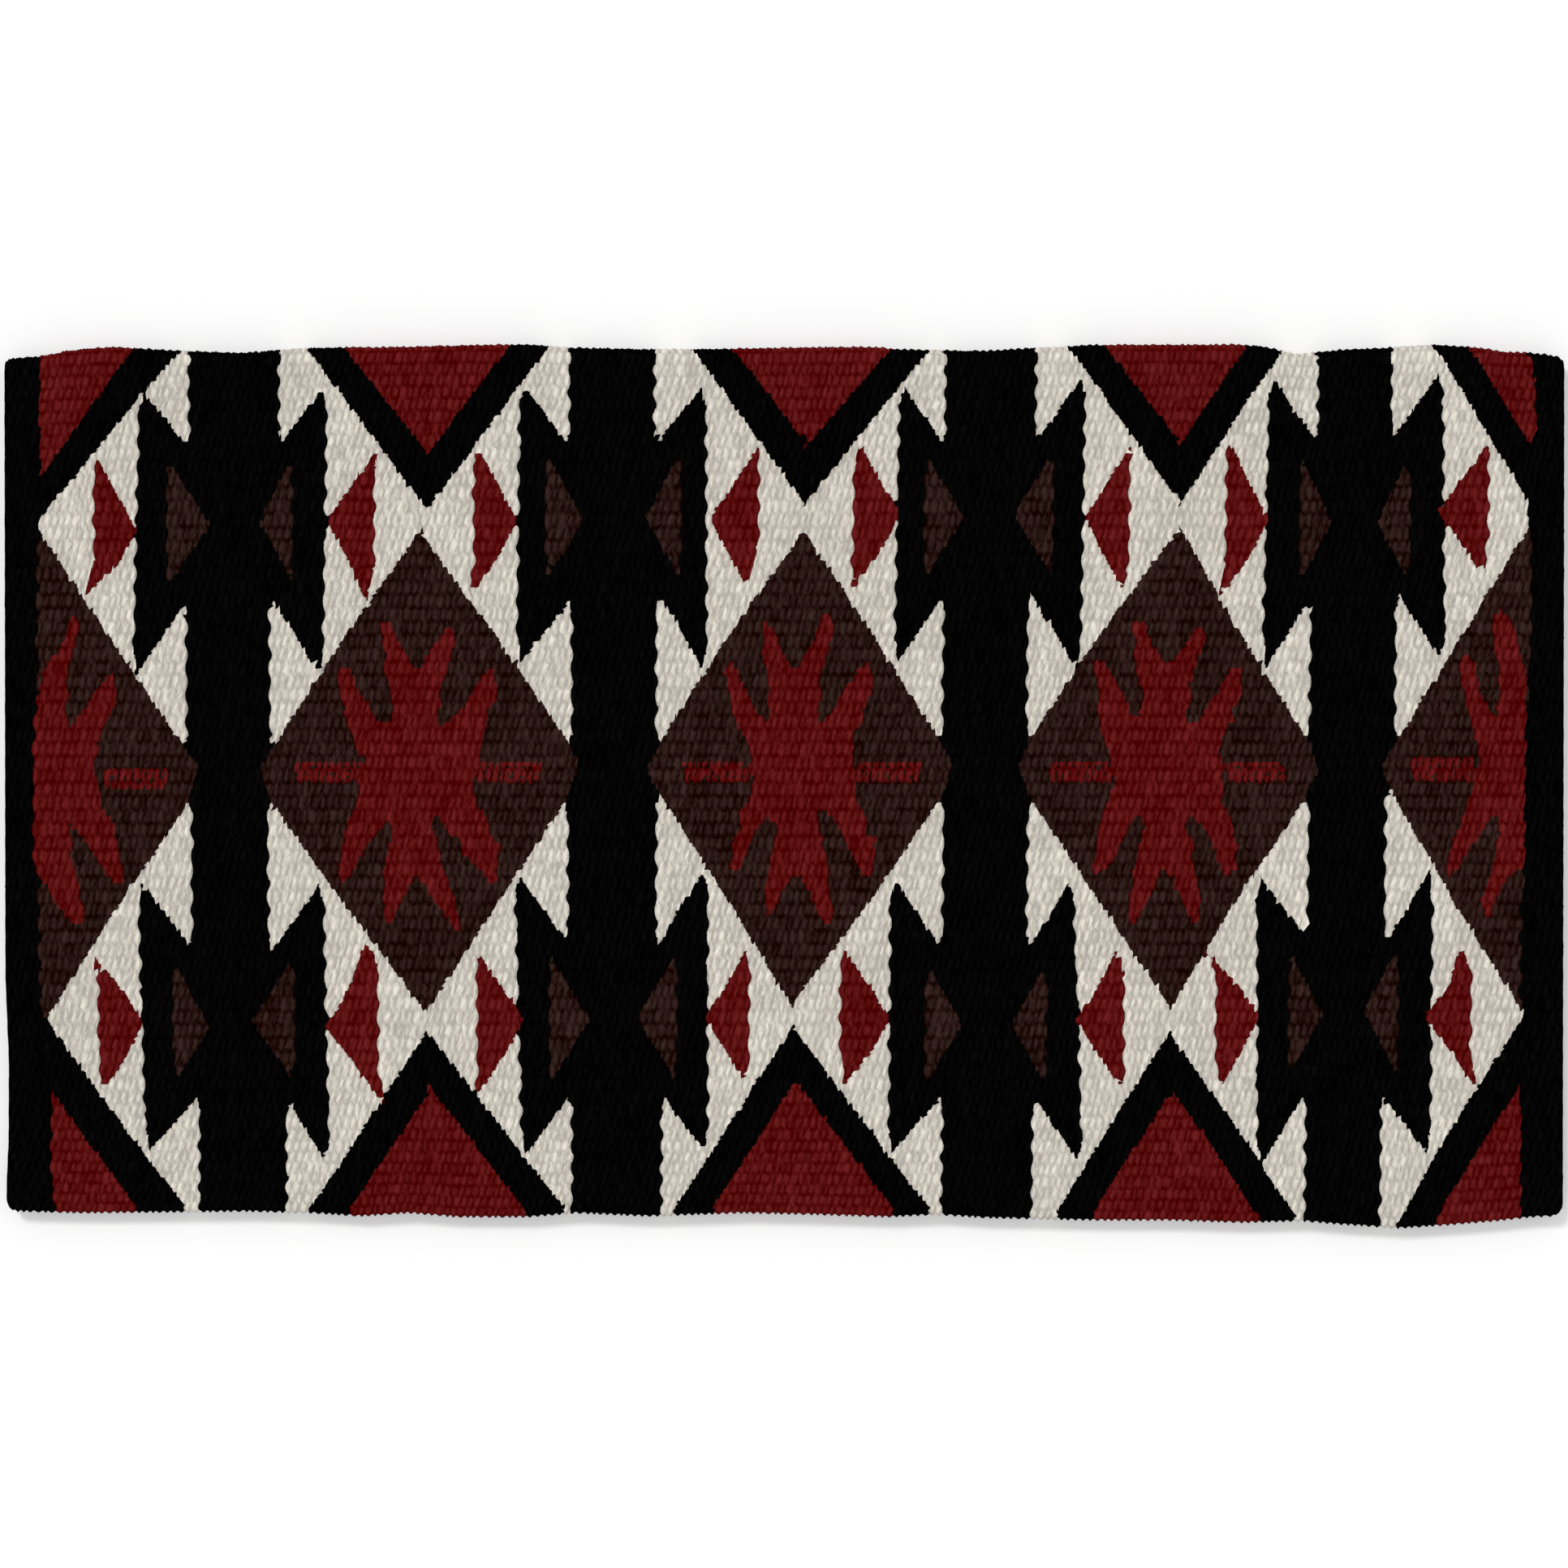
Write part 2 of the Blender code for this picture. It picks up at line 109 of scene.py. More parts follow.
# What a cell of the cloth can belong to: later ones lie over earlier ones
(BAND, DIAMOND, BAR, STAR, SIDE_POINT, UPPER_WHITE, LOWER_WHITE, FOLD_V, FOLD_HEART, SELVEDGE_V,
 SELVEDGE_HEART, UPPER_LOZENGE, LOWER_LOZENGE, END_STRIP) = range(14)
COLOUR_OF = ("black", "brown", "red", "red", "brown", "white", "white", "black", "red", "black",
             "red", "red", "red", "black")
WOOLS = ("black", "white", "red", "brown")

# Each half motif, in pixels out from its axis and down the photograph.
# teeth: how far the four white teeth reach; sides: the black edge between them, four heights
# upper: first tooth's tip, notch, notch, second tooth's tip, its end; lower: the same, downwards
# fold: the V's width and tip, the red triangle's width and tip; selvedge: tips, then widths
# diamond: top and bottom, then how far its upper and lower edges bulge; lozenges: top tip, side,
# bottom tip, vertex, then how far the two slanting edges bulge; points: side, vertex, its height
# bar: start, end, top
HalfMotif = namedtuple("HalfMotif", "teeth sides upper lower fold selvedge diamond lozenges "
                                    "points bar")
HALF_MOTIFS = {
    (1, RIGHT): HalfMotif(
        (184, 180, 186, 194), (122, 115, 120, 128), (549, 486, 826, 747, 919),
        (989, 1164, 1093, 1410, 1352), (178, 638, 119, 580), (1247, 176, 1336, 117),
        (656, 1264, -1, -3), ((70, 576, 66, 55, 730, 120, 653, 3, 11),
                               (60, 1181, 70, 77, 1336, 126, 1260, 9, 6)),
        ((156, 210, 647), (162, 207, 1263)), (76, 156, 947)),
    (2, LEFT): HalfMotif(
        (178, 191, 194, 173), (119, 125, 126, 121), (546, 483, 828, 738, 920),
        (989, 1172, 1094, 1424, 1356), (148, 622, 101, 543), (1270, 145, 1358, 97),
        (648, 1249, 5, 1), ((52, 559, 61, 71, 735, 120, 642, 4, -2),
                               (73, 1168, 60, 54, 1352, 125, 1265, -4, 1)),
        ((162, 201, 642), (162, 215, 1257)), (74, 161, 938)),
    (2, RIGHT): HalfMotif(
        (177, 180, 176, 181), (117, 113, 111, 118), (546, 482, 812, 742, 914),
        (989, 1156, 1085, 1415, 1350), (156, 634, 108, 559), (1269, 173, 1343, 122),
        (661, 1245, 2, 0), ((65, 563, 61, 58, 726, 114, 644, 5, 6),
                               (60, 1177, 63, 62, 1343, 120, 1254, 4, 6)),
        ((148, 195, 640), (153, 203, 1257)), (65, 143, 938)),
    (3, LEFT): HalfMotif(
        (179, 175, 174, 165), (117, 114, 110, 107), (545, 482, 820, 734, 915),
        (978, 1163, 1074, 1410, 1352), (138, 617, 90, 532), (1260, 148, 1342, 100),
        (659, 1246, 4, -2), ((53, 560, 52, 65, 716, 111, 639, 2, 2),
                               (58, 1177, 57, 56, 1332, 112, 1253, 2, 3)),
        ((146, 190, 637), (147, 197, 1253)), (62, 141, 937)),
    (3, RIGHT): HalfMotif(
        (176, 177, 180, 183), (119, 117, 116, 117), (545, 480, 812, 738, 910),
        (984, 1163, 1088, 1412, 1350), (161, 627, 113, 548), (1267, 169, 1337, 125),
        (650, 1232, 2, 4), ((70, 558, 64, 63, 719, 123, 636, 4, 7),
                               (58, 1177, 56, 61, 1331, 117, 1254, 5, 7)),
        ((152, 200, 638), (160, 205, 1262)), (72, 152, 938)),
    (4, LEFT): HalfMotif(
        (175, 182, 179, 169), (114, 116, 121, 108), (541, 472, 822, 732, 910),
        (986, 1165, 1090, 1421, 1354), (140, 613, 94, 532), (1267, 139, 1355, 94),
        (656, 1243, 5, 0), ((55, 555, 58, 64, 724, 113, 638, 2, 3),
                               (65, 1180, 58, 57, 1338, 117, 1255, 1, 4)),
        ((152, 200, 635), (153, 196, 1263)), (70, 152, 937)),
    (4, RIGHT): HalfMotif(
        (173, 167, 167, 167), (113, 108, 104, 108), (541, 471, 820, 742, 909),
        (984, 1152, 1087, 1424, 1352), (133, 628, 88, 545), (1274, 155, 1350, 110),
        (641, 1240, -5, -5), ((62, 554, 61, 52, 733, 115, 640, 2, 8),
                               (39, 1178, 55, 60, 1334, 108, 1254, 13, 5)),
        ((152, 191, 643), (145, 186, 1251)), (65, 137, 938)),
    (5, LEFT): HalfMotif(
        (170, 162, 172, 174), (107, 102, 113, 113), (537, 468, 809, 733, 910),
        (970, 1158, 1077, 1412, 1350), (122, 618, 78, 537), (1253, 152, 1342, 105),
        (650, 1248, 0, 4), ((49, 555, 50, 55, 702, 111, 631, 5, 4),
                               (75, 1179, 64, 54, 1339, 122, 1252, -7, 0)),
        ((146, 186, 642), (154, 197, 1245)), (62, 141, 935)),
}
# The half stars, woven freely: points out from the axis and down, from its top to its foot
STARS = {
    (1, RIGHT): [(0, 846), (8, 820), (28, 793), (38, 762), (47, 758), (45, 787), (36, 817),
        (32, 867), (32, 900), (40, 893), (75, 842), (88, 828), (93, 840), (92, 867), (80, 890),
        (70, 920), (66, 950), (71, 968), (78, 1000), (90, 1015), (98, 1060), (101, 1083),
        (92, 1091), (80, 1075), (48, 1025), (36, 1014), (38, 1055), (48, 1092), (53, 1130),
        (48, 1142), (40, 1137), (23, 1117), (0, 1082)],
    (2, LEFT): [(0, 818), (9, 824), (17, 819), (42, 769), (53, 768), (48, 829), (40, 850),
        (41, 883), (47, 891), (59, 885), (83, 849), (90, 827), (99, 820), (108, 825), (97, 893),
        (87, 905), (85, 923), (74, 933), (73, 941), (85, 948), (85, 959), (80, 963), (85, 994),
        (95, 1009), (109, 1074), (104, 1087), (91, 1078), (72, 1040), (47, 1011), (41, 1023),
        (52, 1072), (51, 1135), (44, 1135), (38, 1128), (35, 1115), (12, 1078), (0, 1092)],
    (2, RIGHT): [(0, 811), (28, 773), (32, 772), (36, 779), (36, 796), (20, 848), (21, 865),
        (14, 885), (20, 897), (50, 867), (72, 830), (79, 824), (86, 828), (91, 857), (79, 873),
        (66, 933), (67, 957), (59, 960), (59, 967), (65, 993), (78, 1007), (77, 1028), (93, 1040),
        (88, 1084), (78, 1091), (71, 1076), (47, 1053), (42, 1034), (30, 1026), (13, 1002),
        (6, 1019), (16, 1041), (16, 1058), (33, 1099), (44, 1145), (37, 1148), (29, 1140),
        (27, 1130), (0, 1096)],
    (3, LEFT): [(0, 820), (8, 822), (13, 818), (34, 771), (44, 769), (45, 803), (36, 848),
        (39, 864), (34, 877), (38, 888), (48, 882), (57, 868), (78, 822), (83, 818), (91, 822),
        (79, 887), (66, 908), (57, 934), (61, 949), (54, 956), (56, 973), (71, 1001), (68, 1019),
        (78, 1033), (83, 1073), (73, 1073), (45, 1013), (36, 1007), (28, 1013), (26, 1025),
        (40, 1103), (38, 1126), (25, 1120), (20, 1102), (6, 1078), (0, 1077)],
    (3, RIGHT): [(0, 818), (19, 784), (28, 755), (39, 756), (40, 781), (26, 834), (27, 864),
        (20, 881), (24, 891), (36, 882), (75, 821), (85, 817), (90, 824), (89, 856), (79, 875),
        (81, 889), (68, 903), (67, 932), (71, 938), (69, 963), (75, 993), (87, 1007), (84, 1024),
        (98, 1035), (92, 1077), (85, 1084), (48, 1015), (35, 999), (26, 1001), (44, 1109),
        (45, 1134), (41, 1141), (33, 1137), (18, 1102), (0, 1077)],
    (4, LEFT): [(0, 814), (15, 816), (33, 787), (35, 771), (52, 765), (47, 829), (40, 847),
        (39, 880), (43, 884), (55, 879), (58, 865), (86, 818), (97, 812), (101, 820), (94, 841),
        (92, 897), (80, 928), (80, 953), (69, 959), (89, 1004), (93, 1046), (101, 1073),
        (95, 1078), (85, 1073), (71, 1056), (53, 1014), (41, 1001), (35, 1014), (48, 1072),
        (54, 1135), (51, 1140), (45, 1136), (12, 1070), (0, 1085)],
    (4, RIGHT): [(0, 813), (28, 771), (33, 771), (38, 788), (29, 805), (19, 845), (20, 864),
        (13, 879), (16, 892), (33, 885), (71, 820), (81, 822), (84, 849), (82, 860), (72, 871),
        (73, 889), (62, 901), (55, 931), (62, 943), (60, 992), (72, 1006), (73, 1026), (80, 1041),
        (78, 1072), (64, 1079), (42, 1024), (22, 1004), (15, 1016), (26, 1039), (25, 1059),
        (35, 1106), (34, 1131), (29, 1136), (24, 1134), (10, 1102), (0, 1090)],
    (5, LEFT): [(0, 828), (9, 805), (12, 780), (22, 762), (33, 750), (40, 757), (42, 787),
        (36, 815), (33, 850), (37, 882), (45, 877), (57, 852), (65, 817), (75, 805), (82, 815),
        (80, 832), (76, 862), (65, 897), (58, 920), (58, 942), (65, 967), (72, 992), (87, 1030),
        (95, 1067), (94, 1080), (85, 1072), (75, 1055), (57, 1030), (45, 1010), (35, 1004),
        (31, 1020), (35, 1050), (45, 1085), (53, 1112), (50, 1130), (42, 1128), (35, 1105),
        (20, 1080), (0, 1066)],
}
# What lies on the far side of the two end motifs' axes, and where the end borders reach over
END_OUTLINES = {
    (1, LEFT): ((DIAMOND, [(0, 658), (4, 672), (5, 780), (4, 1090), (2, 1225), (0, 1240)]),
                (STAR, [(0, 848), (6, 862), (9, 920), (9, 1055), (6, 1070), (0, 1082)])),
    (1, RIGHT): ((END_STRIP, [(0, 1300), (12, 1336), (10, 1400), (11, 1450), (16, 1490),
                              (16, 1540), (0, 1540)]),),
    (5, LEFT): ((END_STRIP, [(0, 1080), (4, 1100), (4, 1228), (0, 1240)]),),
    (5, RIGHT): ((FOLD_HEART, [(0, 400), (1, 440), (7, 470), (8, 530), (3, 546), (0, 548)]),
                 (DIAMOND, [(0, 648), (4, 660), (5, 780), (3, 850), (0, 900)])),
}
END_KEYS = {(1, LEFT), (5, RIGHT)}
# Heights past the fold and past the selvedge, to which the outlines run on, and heights where
# the fold's triangles, the first teeth and the selvedge's triangles begin to narrow
ABOVE_FOLD, BELOW_SELVEDGE = 400, 1540
FOLD_TRIANGLE_TOP, TOOTH_ROOT, SELVEDGE_TRIANGLE_FOOT = 425, 440, 1490
# The diamonds' side corners: their height, and how far they stand out past the white teeth
DIAMOND_MIDDLE, DIAMOND_CORNER = 945, 11
BAR_HEIGHT = 25
# How far the brown points reach up and down from their vertex, and half their blunt base
POINT_UP, POINT_DOWN, POINT_BASE = 78, 74, 30
# A colour's edge is upright if it goes less than this far sideways for its height
UPRIGHT_SLOPE = 0.17
# The least and the most of its way that a point on a colour's edge goes to the outline, and how
# much less of it on the stars, whose edges are rougher
DRAWN, STAR_DRAWN_LESS = (0.15, 0.8), 0.1
# An edge's point is drawn if its outline is within this many pixels. On the fold, where it only
# goes sideways, it goes no farther than FOLD_REACH, and not at all for less than LEAST_MOVE.
DRAWN_FROM, FOLD_REACH, LEAST_MOVE = 9, 8, 0.3
# The smallest and the largest scallop of an upright edge, as shares of the usual one, and how
# many pixels a corner between two scallops can stand beside the outline
SCALLOPS, CORNER_REACH = (0.5, 1.3), 2.6
# The points in between take this share of each of their four neighbours' moves, over and over
SPREAD_SHARE, SPREAD_PASSES = 0.246, 26
# How often cells that touch only at a corner are looked for and joined
CORNER_PASSES = 20

# How a bead's outer face swells, from groove to groove: at its middle, beside it, and at its tips.
# 0 is the bottom of a groove and 1 the crown of a bead.
CROWN = np.array([0.0, 0.66, 1.0, 0.66])
SHOULDER = np.array([0.1, 0.60, 0.94, 0.60])
TIP = np.array([0.48, 0.34, 0.48, 0.34])
RIM_HEIGHT = 0.55
# How beads differ: in height from bead to bead and from point to point, and in tone
FULLER_BEADS, FULLEST = 0.16, (0.6, 1.3)
ROUGH_FACE, HIGHEST = 0.08, 1.15
TONE_SPREAD = 0.4
# How much the painted shade along the seam between two rows differs from bead to bead, and its
# strongest
ROW_SEAM_SHADE_SPREAD, STRONGEST_ROW_SEAM_SHADE = 0.6, 2.2
# As shares of a row: how far the rim's beads reach out and draw back, and how far tips stray
RIM_REACH, RIM_DRAW = 0.1, 0.12
TIP_STRAY = 0.07
# How far the tips lean with their bead, and how far the inner face's beads lean the other way
TIP_LEAN, INNER_LEAN = 0.75, 0.6

# How the cloth lies, in metres: its rim, its corners, and how soon each wandering fades
RIM_RADIUS = 0.0028
# The rim's round falls by this share, and by no more than that share of the thickness
RIM_FALL, MOST_FALL = 0.9, 0.4
CORNER_RADIUS = 0.007
EDGE_FADE = 0.05
FOLD_FADE = 0.06
DRIFT_FADE = 0.01
LOWER_LEAF_SHORTER = 0.0015
SWELL_LIFT = 0.0007
# The swells' waves: radians per metre along the spine and down, and their beginnings
SWELL_ACROSS, SWELL_SLANT = (9.1, 1.3), (4.3, 11.0, 0.4)
# The fold's edge wanders partly because the fold is fuller there, and partly with the whole fold
FULL_SHARE, PLACE_SHARE = 0.55, 0.45
# The wool: the size and slant of its strands and the size of its slow changes of tone, in metres
# of cloth, the noise's range, and the shares of the tone that beads and slow changes have
STRAND_SIZE, STRAND_SLANT = (0.0013, 0.0052), 0.24
CLOUD_SIZE = (0.035, 0.035)
NOISE_RANGE = (0.3, 0.7)
BEAD_TONE, CLOUD_TONE = 0.22, 0.07
PALE_POWER = 1.3
FIBRE_RELIEF = 0.0004
# The stage: the floor, the sun, and the camera's place over the blanket's middle
FLOOR_HALF_SIDE = 20.0
SUN_SOFTNESS = math.radians(12)
SUN_TILT = (math.radians(-28), math.radians(-24), 0)
EYE_SHIFT = (-0.0002, -0.0036)
FACE_HEIGHT = 0.017
# Shares of a bar's faces that show brown: anywhere, and besides that in the grooves
BAR_FLECKS, BAR_GROOVES = 0.1, 0.55
# Below this fill, a notched piece is taken as wide as its area over its length
NOTCHED_FILL = 0.31


class BlanketSizes(bpy.types.PropertyGroup):
    """The cloth and its weave."""
    length: FloatProperty(name="Length", description="Along the spine", default=0.8636,
                          subtype="DISTANCE", unit="LENGTH")
    leaf_drop: FloatProperty(name="Leaf drop", description="First fold line to selvedge",
                             default=0.4745, subtype="DISTANCE", unit="LENGTH")
    thickness: FloatProperty(name="Thickness", description="Over the crowns of the beads",
                             default=0.007, subtype="DISTANCE", unit="LENGTH")
    rib_pitch: FloatProperty(name="Rib pitch", description="One row of beads in the fold",
                             default=0.0054, subtype="DISTANCE", unit="LENGTH")
    rows: IntProperty(name="Rows", description="Warps in one leaf", default=66, min=8)
    beads: IntProperty(name="Beads", description="Beads in one row", default=218, min=16)
    relief: FloatProperty(name="Relief", description="Depth between two beads",
                          default=0.0014, subtype="DISTANCE", unit="LENGTH")
    lean: FloatProperty(name="Lean", description="Slant of the beads", default=0.21,
                        subtype="ANGLE", unit="ROTATION")
    interlock: FloatProperty(name="Interlock", description="How far a bead's tip runs in between "
                             "the next row's beads, as a share of a row", default=0.13)
    scallop: FloatProperty(name="Scallop", description="Swing of an upright colour edge",
                           default=0.0010, subtype="DISTANCE", unit="LENGTH")
    uneven: FloatProperty(name="Uneven", description="How far a groove strays, as a share of a "
                          "bead's width", default=0.2)


class BlanketColours(bpy.types.PropertyGroup):
    """The dyed wools, and the floor."""
    # Each wool's colour is its pale shade on the crowns, with a painted sheen; the grooves take a
    # darker copy as painted shade
    black: FloatVectorProperty(name="Black wool", description="Darkest ground", subtype="COLOR",
                               size=3, default=(0.0036, 0.0033, 0.0033))
    white: FloatVectorProperty(name="White wool", description="Undyed wool", subtype="COLOR",
                               size=3, default=(0.91, 0.855, 0.755))
    red: FloatVectorProperty(name="Red wool", description="Deep red", subtype="COLOR", size=3,
                             default=(0.175, 0.0155, 0.0158))
    brown: FloatVectorProperty(name="Brown wool", description="Red brown", subtype="COLOR", size=3,
                               default=(0.049, 0.0243, 0.0205))
    floor: FloatVectorProperty(name="Floor", description="Pale floor", subtype="COLOR", size=3,
                               default=(0.8, 0.8, 0.8))


class StageSettings(bpy.types.PropertyGroup):
    """The camera and the light."""
    focal_length: FloatProperty(name="Focal length", description="In millimetres", default=120.0)
    image_width: FloatProperty(name="Image width", description="Seen at the cloth's face",
                               default=0.86805, subtype="DISTANCE", unit="LENGTH")
    world_strength: FloatProperty(name="World", description="Strength of the soft surround",
                                  default=0.62)
    sun_strength: FloatProperty(name="Sun", description="Strength of the soft key light",
                                default=1.3)
    floor_glow: FloatProperty(name="Floor glow", description="Added to the floor that the camera "
                              "sees", default=0.26)


def down_from_pixel(y):
    """Distance down the leaf from the first fold line, for a height in the photograph."""
    drop = bpy.context.scene.blanket_sizes.leaf_drop
    return (y - FOLD_PIXEL) / (SELVEDGE_PIXEL - FOLD_PIXEL) * drop


def to_pixels(across, down):
    """A place on the leaf in the photograph's pixels, its axes taken straight."""
    drop = bpy.context.scene.blanket_sizes.leaf_drop
    return (across / PIXEL + MIDDLE_PIXEL,
            FOLD_PIXEL + down * (SELVEDGE_PIXEL - FOLD_PIXEL) / drop)


def inside(outline, x, y):
    """Which points lie inside a closed outline: a ray to the right crosses it an odd time."""
    found = np.zeros(x.shape, bool)
    for (x0, y0), (x1, y1) in zip(outline, outline[1:] + outline[:1]):
        if y0 == y1:
            continue
        crosses = (y0 > y) != (y1 > y)
        found ^= crosses & (x < (x1 - x0) * (y - y0) / (y1 - y0) + x0)
    return found


def serrations(teeth, tips, sides, notches, first, second):
    """The black edge between two white teeth, with its blunt tips and its two blunt notches.

    It leaves the first tooth at its tip, goes in to the first notch, along the black side to the
    second notch, and out to the second tooth's tip. first: how far the first notch's mouth lies
    out, up and down from its corner; second: how far the second one's lies up and down.
    """
    return [(teeth[0], tips[0] - 14), (teeth[0] - 3, tips[0]), (teeth[0] - 9, tips[0] - 8),
            (sides[0] + first[0], notches[0] - first[1]), (sides[0], notches[0] + first[2]),
            (sides[1], notches[1] - second[0]), (sides[1] + 5, notches[1] + second[1]),
            (teeth[1] - 8, tips[1] + 7), (teeth[1] - 3, tips[1]), (teeth[1], tips[1] + 14)]


def motif_outlines(motif, star):
    """The outlines of a half motif, from its measures in HALF_MOTIFS.

    Corners are a little blunt, as the weave makes them, and the small numbers say by how much.
    """
    top, foot = ABOVE_FOLD, BELOW_SELVEDGE
    t1, t2, t3, t4 = motif.teeth
    tip1, notch1, notch2, tip2, end2 = motif.upper
    start3, tip3, notch3, notch4, tip4 = motif.lower
    crown, base, bulge, low_bulge = motif.diamond
    v_fold, v_end, h_fold, h_end = motif.fold
    v_start, v_foot, h_start, h_foot = motif.selvedge
    bar0, bar1, bar_top = motif.bar
    upper_edge = ((t2 - 4) / 2 + bulge, (crown + end2) / 2)
    lower_edge = ((t3 - 4) / 2 + low_bulge, (start3 + base) / 2)
    shapes = [
        (DIAMOND, [(0, crown), upper_edge, (t2 - 4, end2),
                   ((t2 + t3) / 2 + DIAMOND_CORNER, DIAMOND_MIDDLE), (t3 - 4, start3),
                   lower_edge, (0, base)]),
        (BAR, [(bar0, bar_top), (bar1, bar_top), (bar1, bar_top + BAR_HEIGHT),
               (bar0, bar_top + BAR_HEIGHT)]),
        (STAR, star)]
    for side, vertex, mid in motif.points:
        shapes.append((SIDE_POINT, [
            (side + 2, mid - POINT_UP), (vertex, mid), (side + 2, mid + POINT_DOWN),
            (side, mid + POINT_BASE), (side, mid - POINT_BASE)]))
    shapes += [
        (UPPER_WHITE, [(0, top), (t1 - 4, top), (t1, TOOTH_ROOT),
                       *serrations((t1, t2), (tip1, tip2), motif.sides[:2], (notch1, notch2),
                                   (6, 3, 18), (24, 3)),
                       (t2, end2 - 12), (t2 - 4, end2), upper_edge, (0, crown)]),
        (LOWER_WHITE, [(0, base), lower_edge, (t3 - 4, start3), (t3, start3 + 12),
                       *serrations((t3, t4), (tip3, tip4), motif.sides[2:], (notch3, notch4),
                                   (5, 5, 22), (18, 7)),
                       (t4, foot), (0, foot)]),
        (FOLD_V, [(0, top), (v_fold, top), (v_fold, FOLD_TRIANGLE_TOP), (0, v_end)]),
        (FOLD_HEART, [(0, top), (h_fold, top), (h_fold, FOLD_TRIANGLE_TOP), (0, h_end + 9)]),
        (SELVEDGE_V, [(0, v_start), (v_foot, SELVEDGE_TRIANGLE_FOOT), (v_foot + 4, foot),
                      (0, foot)]),
        (SELVEDGE_HEART, [(0, h_start - 9), (h_foot, SELVEDGE_TRIANGLE_FOOT),
                          (h_foot + 2, foot), (0, foot)])]
    for code, (x0, y0, side, x1, y1, x2, y2, out0, out1) in zip(
            (UPPER_LOZENGE, LOWER_LOZENGE), motif.lozenges):
        shapes.append((code, [
            (x0, y0 - 8), (x0 + 6, y0 - 2), ((x0 + x2) / 2 + out0, (y0 + y2) / 2), (x2, y2),
            ((x1 + x2) / 2 + out1, (y1 + y2) / 2), (x1 + 5, y1), (x1, y1 + 5),
            (side, y1 - 40), (side, y0 + 20)]))
    return shapes


def outlines(key):
    """The outlines of one half motif, out from its axis and down, the later ones on top."""
    shapes = [] if key in END_KEYS else motif_outlines(HALF_MOTIFS[key], STARS[key])
    return shapes + list(END_OUTLINES.get(key, ()))


def motif_keys():
    """Every half motif, the far sides of the two end ones too."""
    return list(HALF_MOTIFS) + sorted(END_KEYS)


def nearest_axis(x):
    """The motif that a place is nearest to, and its side of that motif's axis."""
    column = np.abs(x[..., None] - AXES).argmin(-1)
    return column + 1, np.where(x >= AXES[column], RIGHT, LEFT)


def pattern(x, y):
    """What each place belongs to, the motif it is nearest to, and its side of the motif's axis.

    The axes are taken straight, at their mean place: drift() leans the finished lattice.
    """
    column, side = nearest_axis(x)
    kind = np.full(x.shape, BAND)
    for key in motif_keys():
        here = (column == key[0]) & (side == key[1])
        out, down = np.abs(x - AXES[key[0] - 1])[here], y[here]
        found = np.full(out.shape, BAND)
        for code, outline in outlines(key):
            found[inside(outline, out, down)] = code
        kind[here] = found
    return kind, column, side


def nearest_edge(x, y, code):
    """The nearest point on the outlines of a kind, whether the outline stands upright there, and
    how far away it is, in pixels.

    For each side of the outline, the foot of the perpendicular is a + t (b - a), with t held
    between 0 and 1. Sides that lie on the motif's axis aren't edges.
    """
    column, side = nearest_axis(x)
    found_x, found_y = x.copy(), y.copy()
    nearest = np.full(x.shape, 1e9)
    upright = np.zeros(x.shape, bool)
    for key in motif_keys():
        here = (column == key[0]) & (side == key[1])
        for kind, outline in outlines(key):
            picked = np.nonzero(here & (code == kind))[0]
            if not len(picked):
                continue
            axis = AXES[key[0] - 1]
            start = np.array(outline, float)
            end = np.roll(start, -1, 0)
            real = (start[:, 0] > 0) | (end[:, 0] > 0)
            start, way = start[real], (end - start)[real]
            point = np.stack([np.abs(x[picked] - axis), y[picked]], -1)
            t = ((point[:, None] - start) * way).sum(-1) / (way * way).sum(-1)
            foot = start + np.clip(t, 0, 1)[..., None] * way
            away = np.hypot(*np.moveaxis(foot - point[:, None], -1, 0))
            best = away.argmin(1)
            rows = np.arange(len(picked))
            closer = away[rows, best] < nearest[picked]
            rows, best, picked = rows[closer], best[closer], picked[closer]
            nearest[picked] = away[rows, best]
            found_x[picked] = axis + key[1] * foot[rows, best, 0]
            found_y[picked] = foot[rows, best, 1]
            steep = np.abs(way[:, 0]) < UPRIGHT_SLOPE * np.abs(way[:, 1])
            upright[picked] = steep[best]
    return found_x, found_y, upright, nearest


def drift(across, down):
    """How far the cloth has crept sideways: each motif's axis leans, and the rest follows."""
    share = np.clip(down / bpy.context.scene.blanket_sizes.leaf_drop, 0, 1)
    places = np.concatenate([[5.0], AXES, [1928.0]])
    at_top = np.concatenate([[0.0], AXES_TOP - AXES, [0.0]])
    x = across / PIXEL + MIDDLE_PIXEL
    return np.interp(x, places, at_top) * (1 - 2 * share) * PIXEL


def node_of(kind, column, side):
    """The CAD node that a cell of the upper leaf belongs to."""
    hand = "right" if side == RIGHT else "left"
    ends = column in (1, 5)
    if kind == END_STRIP or ends and kind in (FOLD_V, SELVEDGE_V):
        return f"end_border_{column}"
    if kind in (BAND, SIDE_POINT):
        if (column, side) in END_KEYS:
            return f"end_border_{column}"
        return f"spine_band_{column if side == RIGHT else column - 1}"
    if kind == STAR and ends or kind == BAR:
        return f"brown_diamond_{column}"
    return {
        UPPER_WHITE: f"upper_white_{column}", LOWER_WHITE: f"lower_white_{column}",
        FOLD_V: f"fold_band_{column}", FOLD_HEART: f"fold_red_{column}",
        SELVEDGE_V: f"selvedge_band_{column}", SELVEDGE_HEART: f"selvedge_red_{column}",
        UPPER_LOZENGE: f"upper_lozenge_{column}_{hand}",
        LOWER_LOZENGE: f"lower_lozenge_{column}_{hand}",
        DIAMOND: f"brown_diamond_{column}", STAR: f"red_star_{column}",
    }[kind]


def smooth(t):
    """Smoothstep, from 0 at 0 to 1 at 1."""
    t = np.clip(t, 0, 1)
    return t * t * (3 - 2 * t)


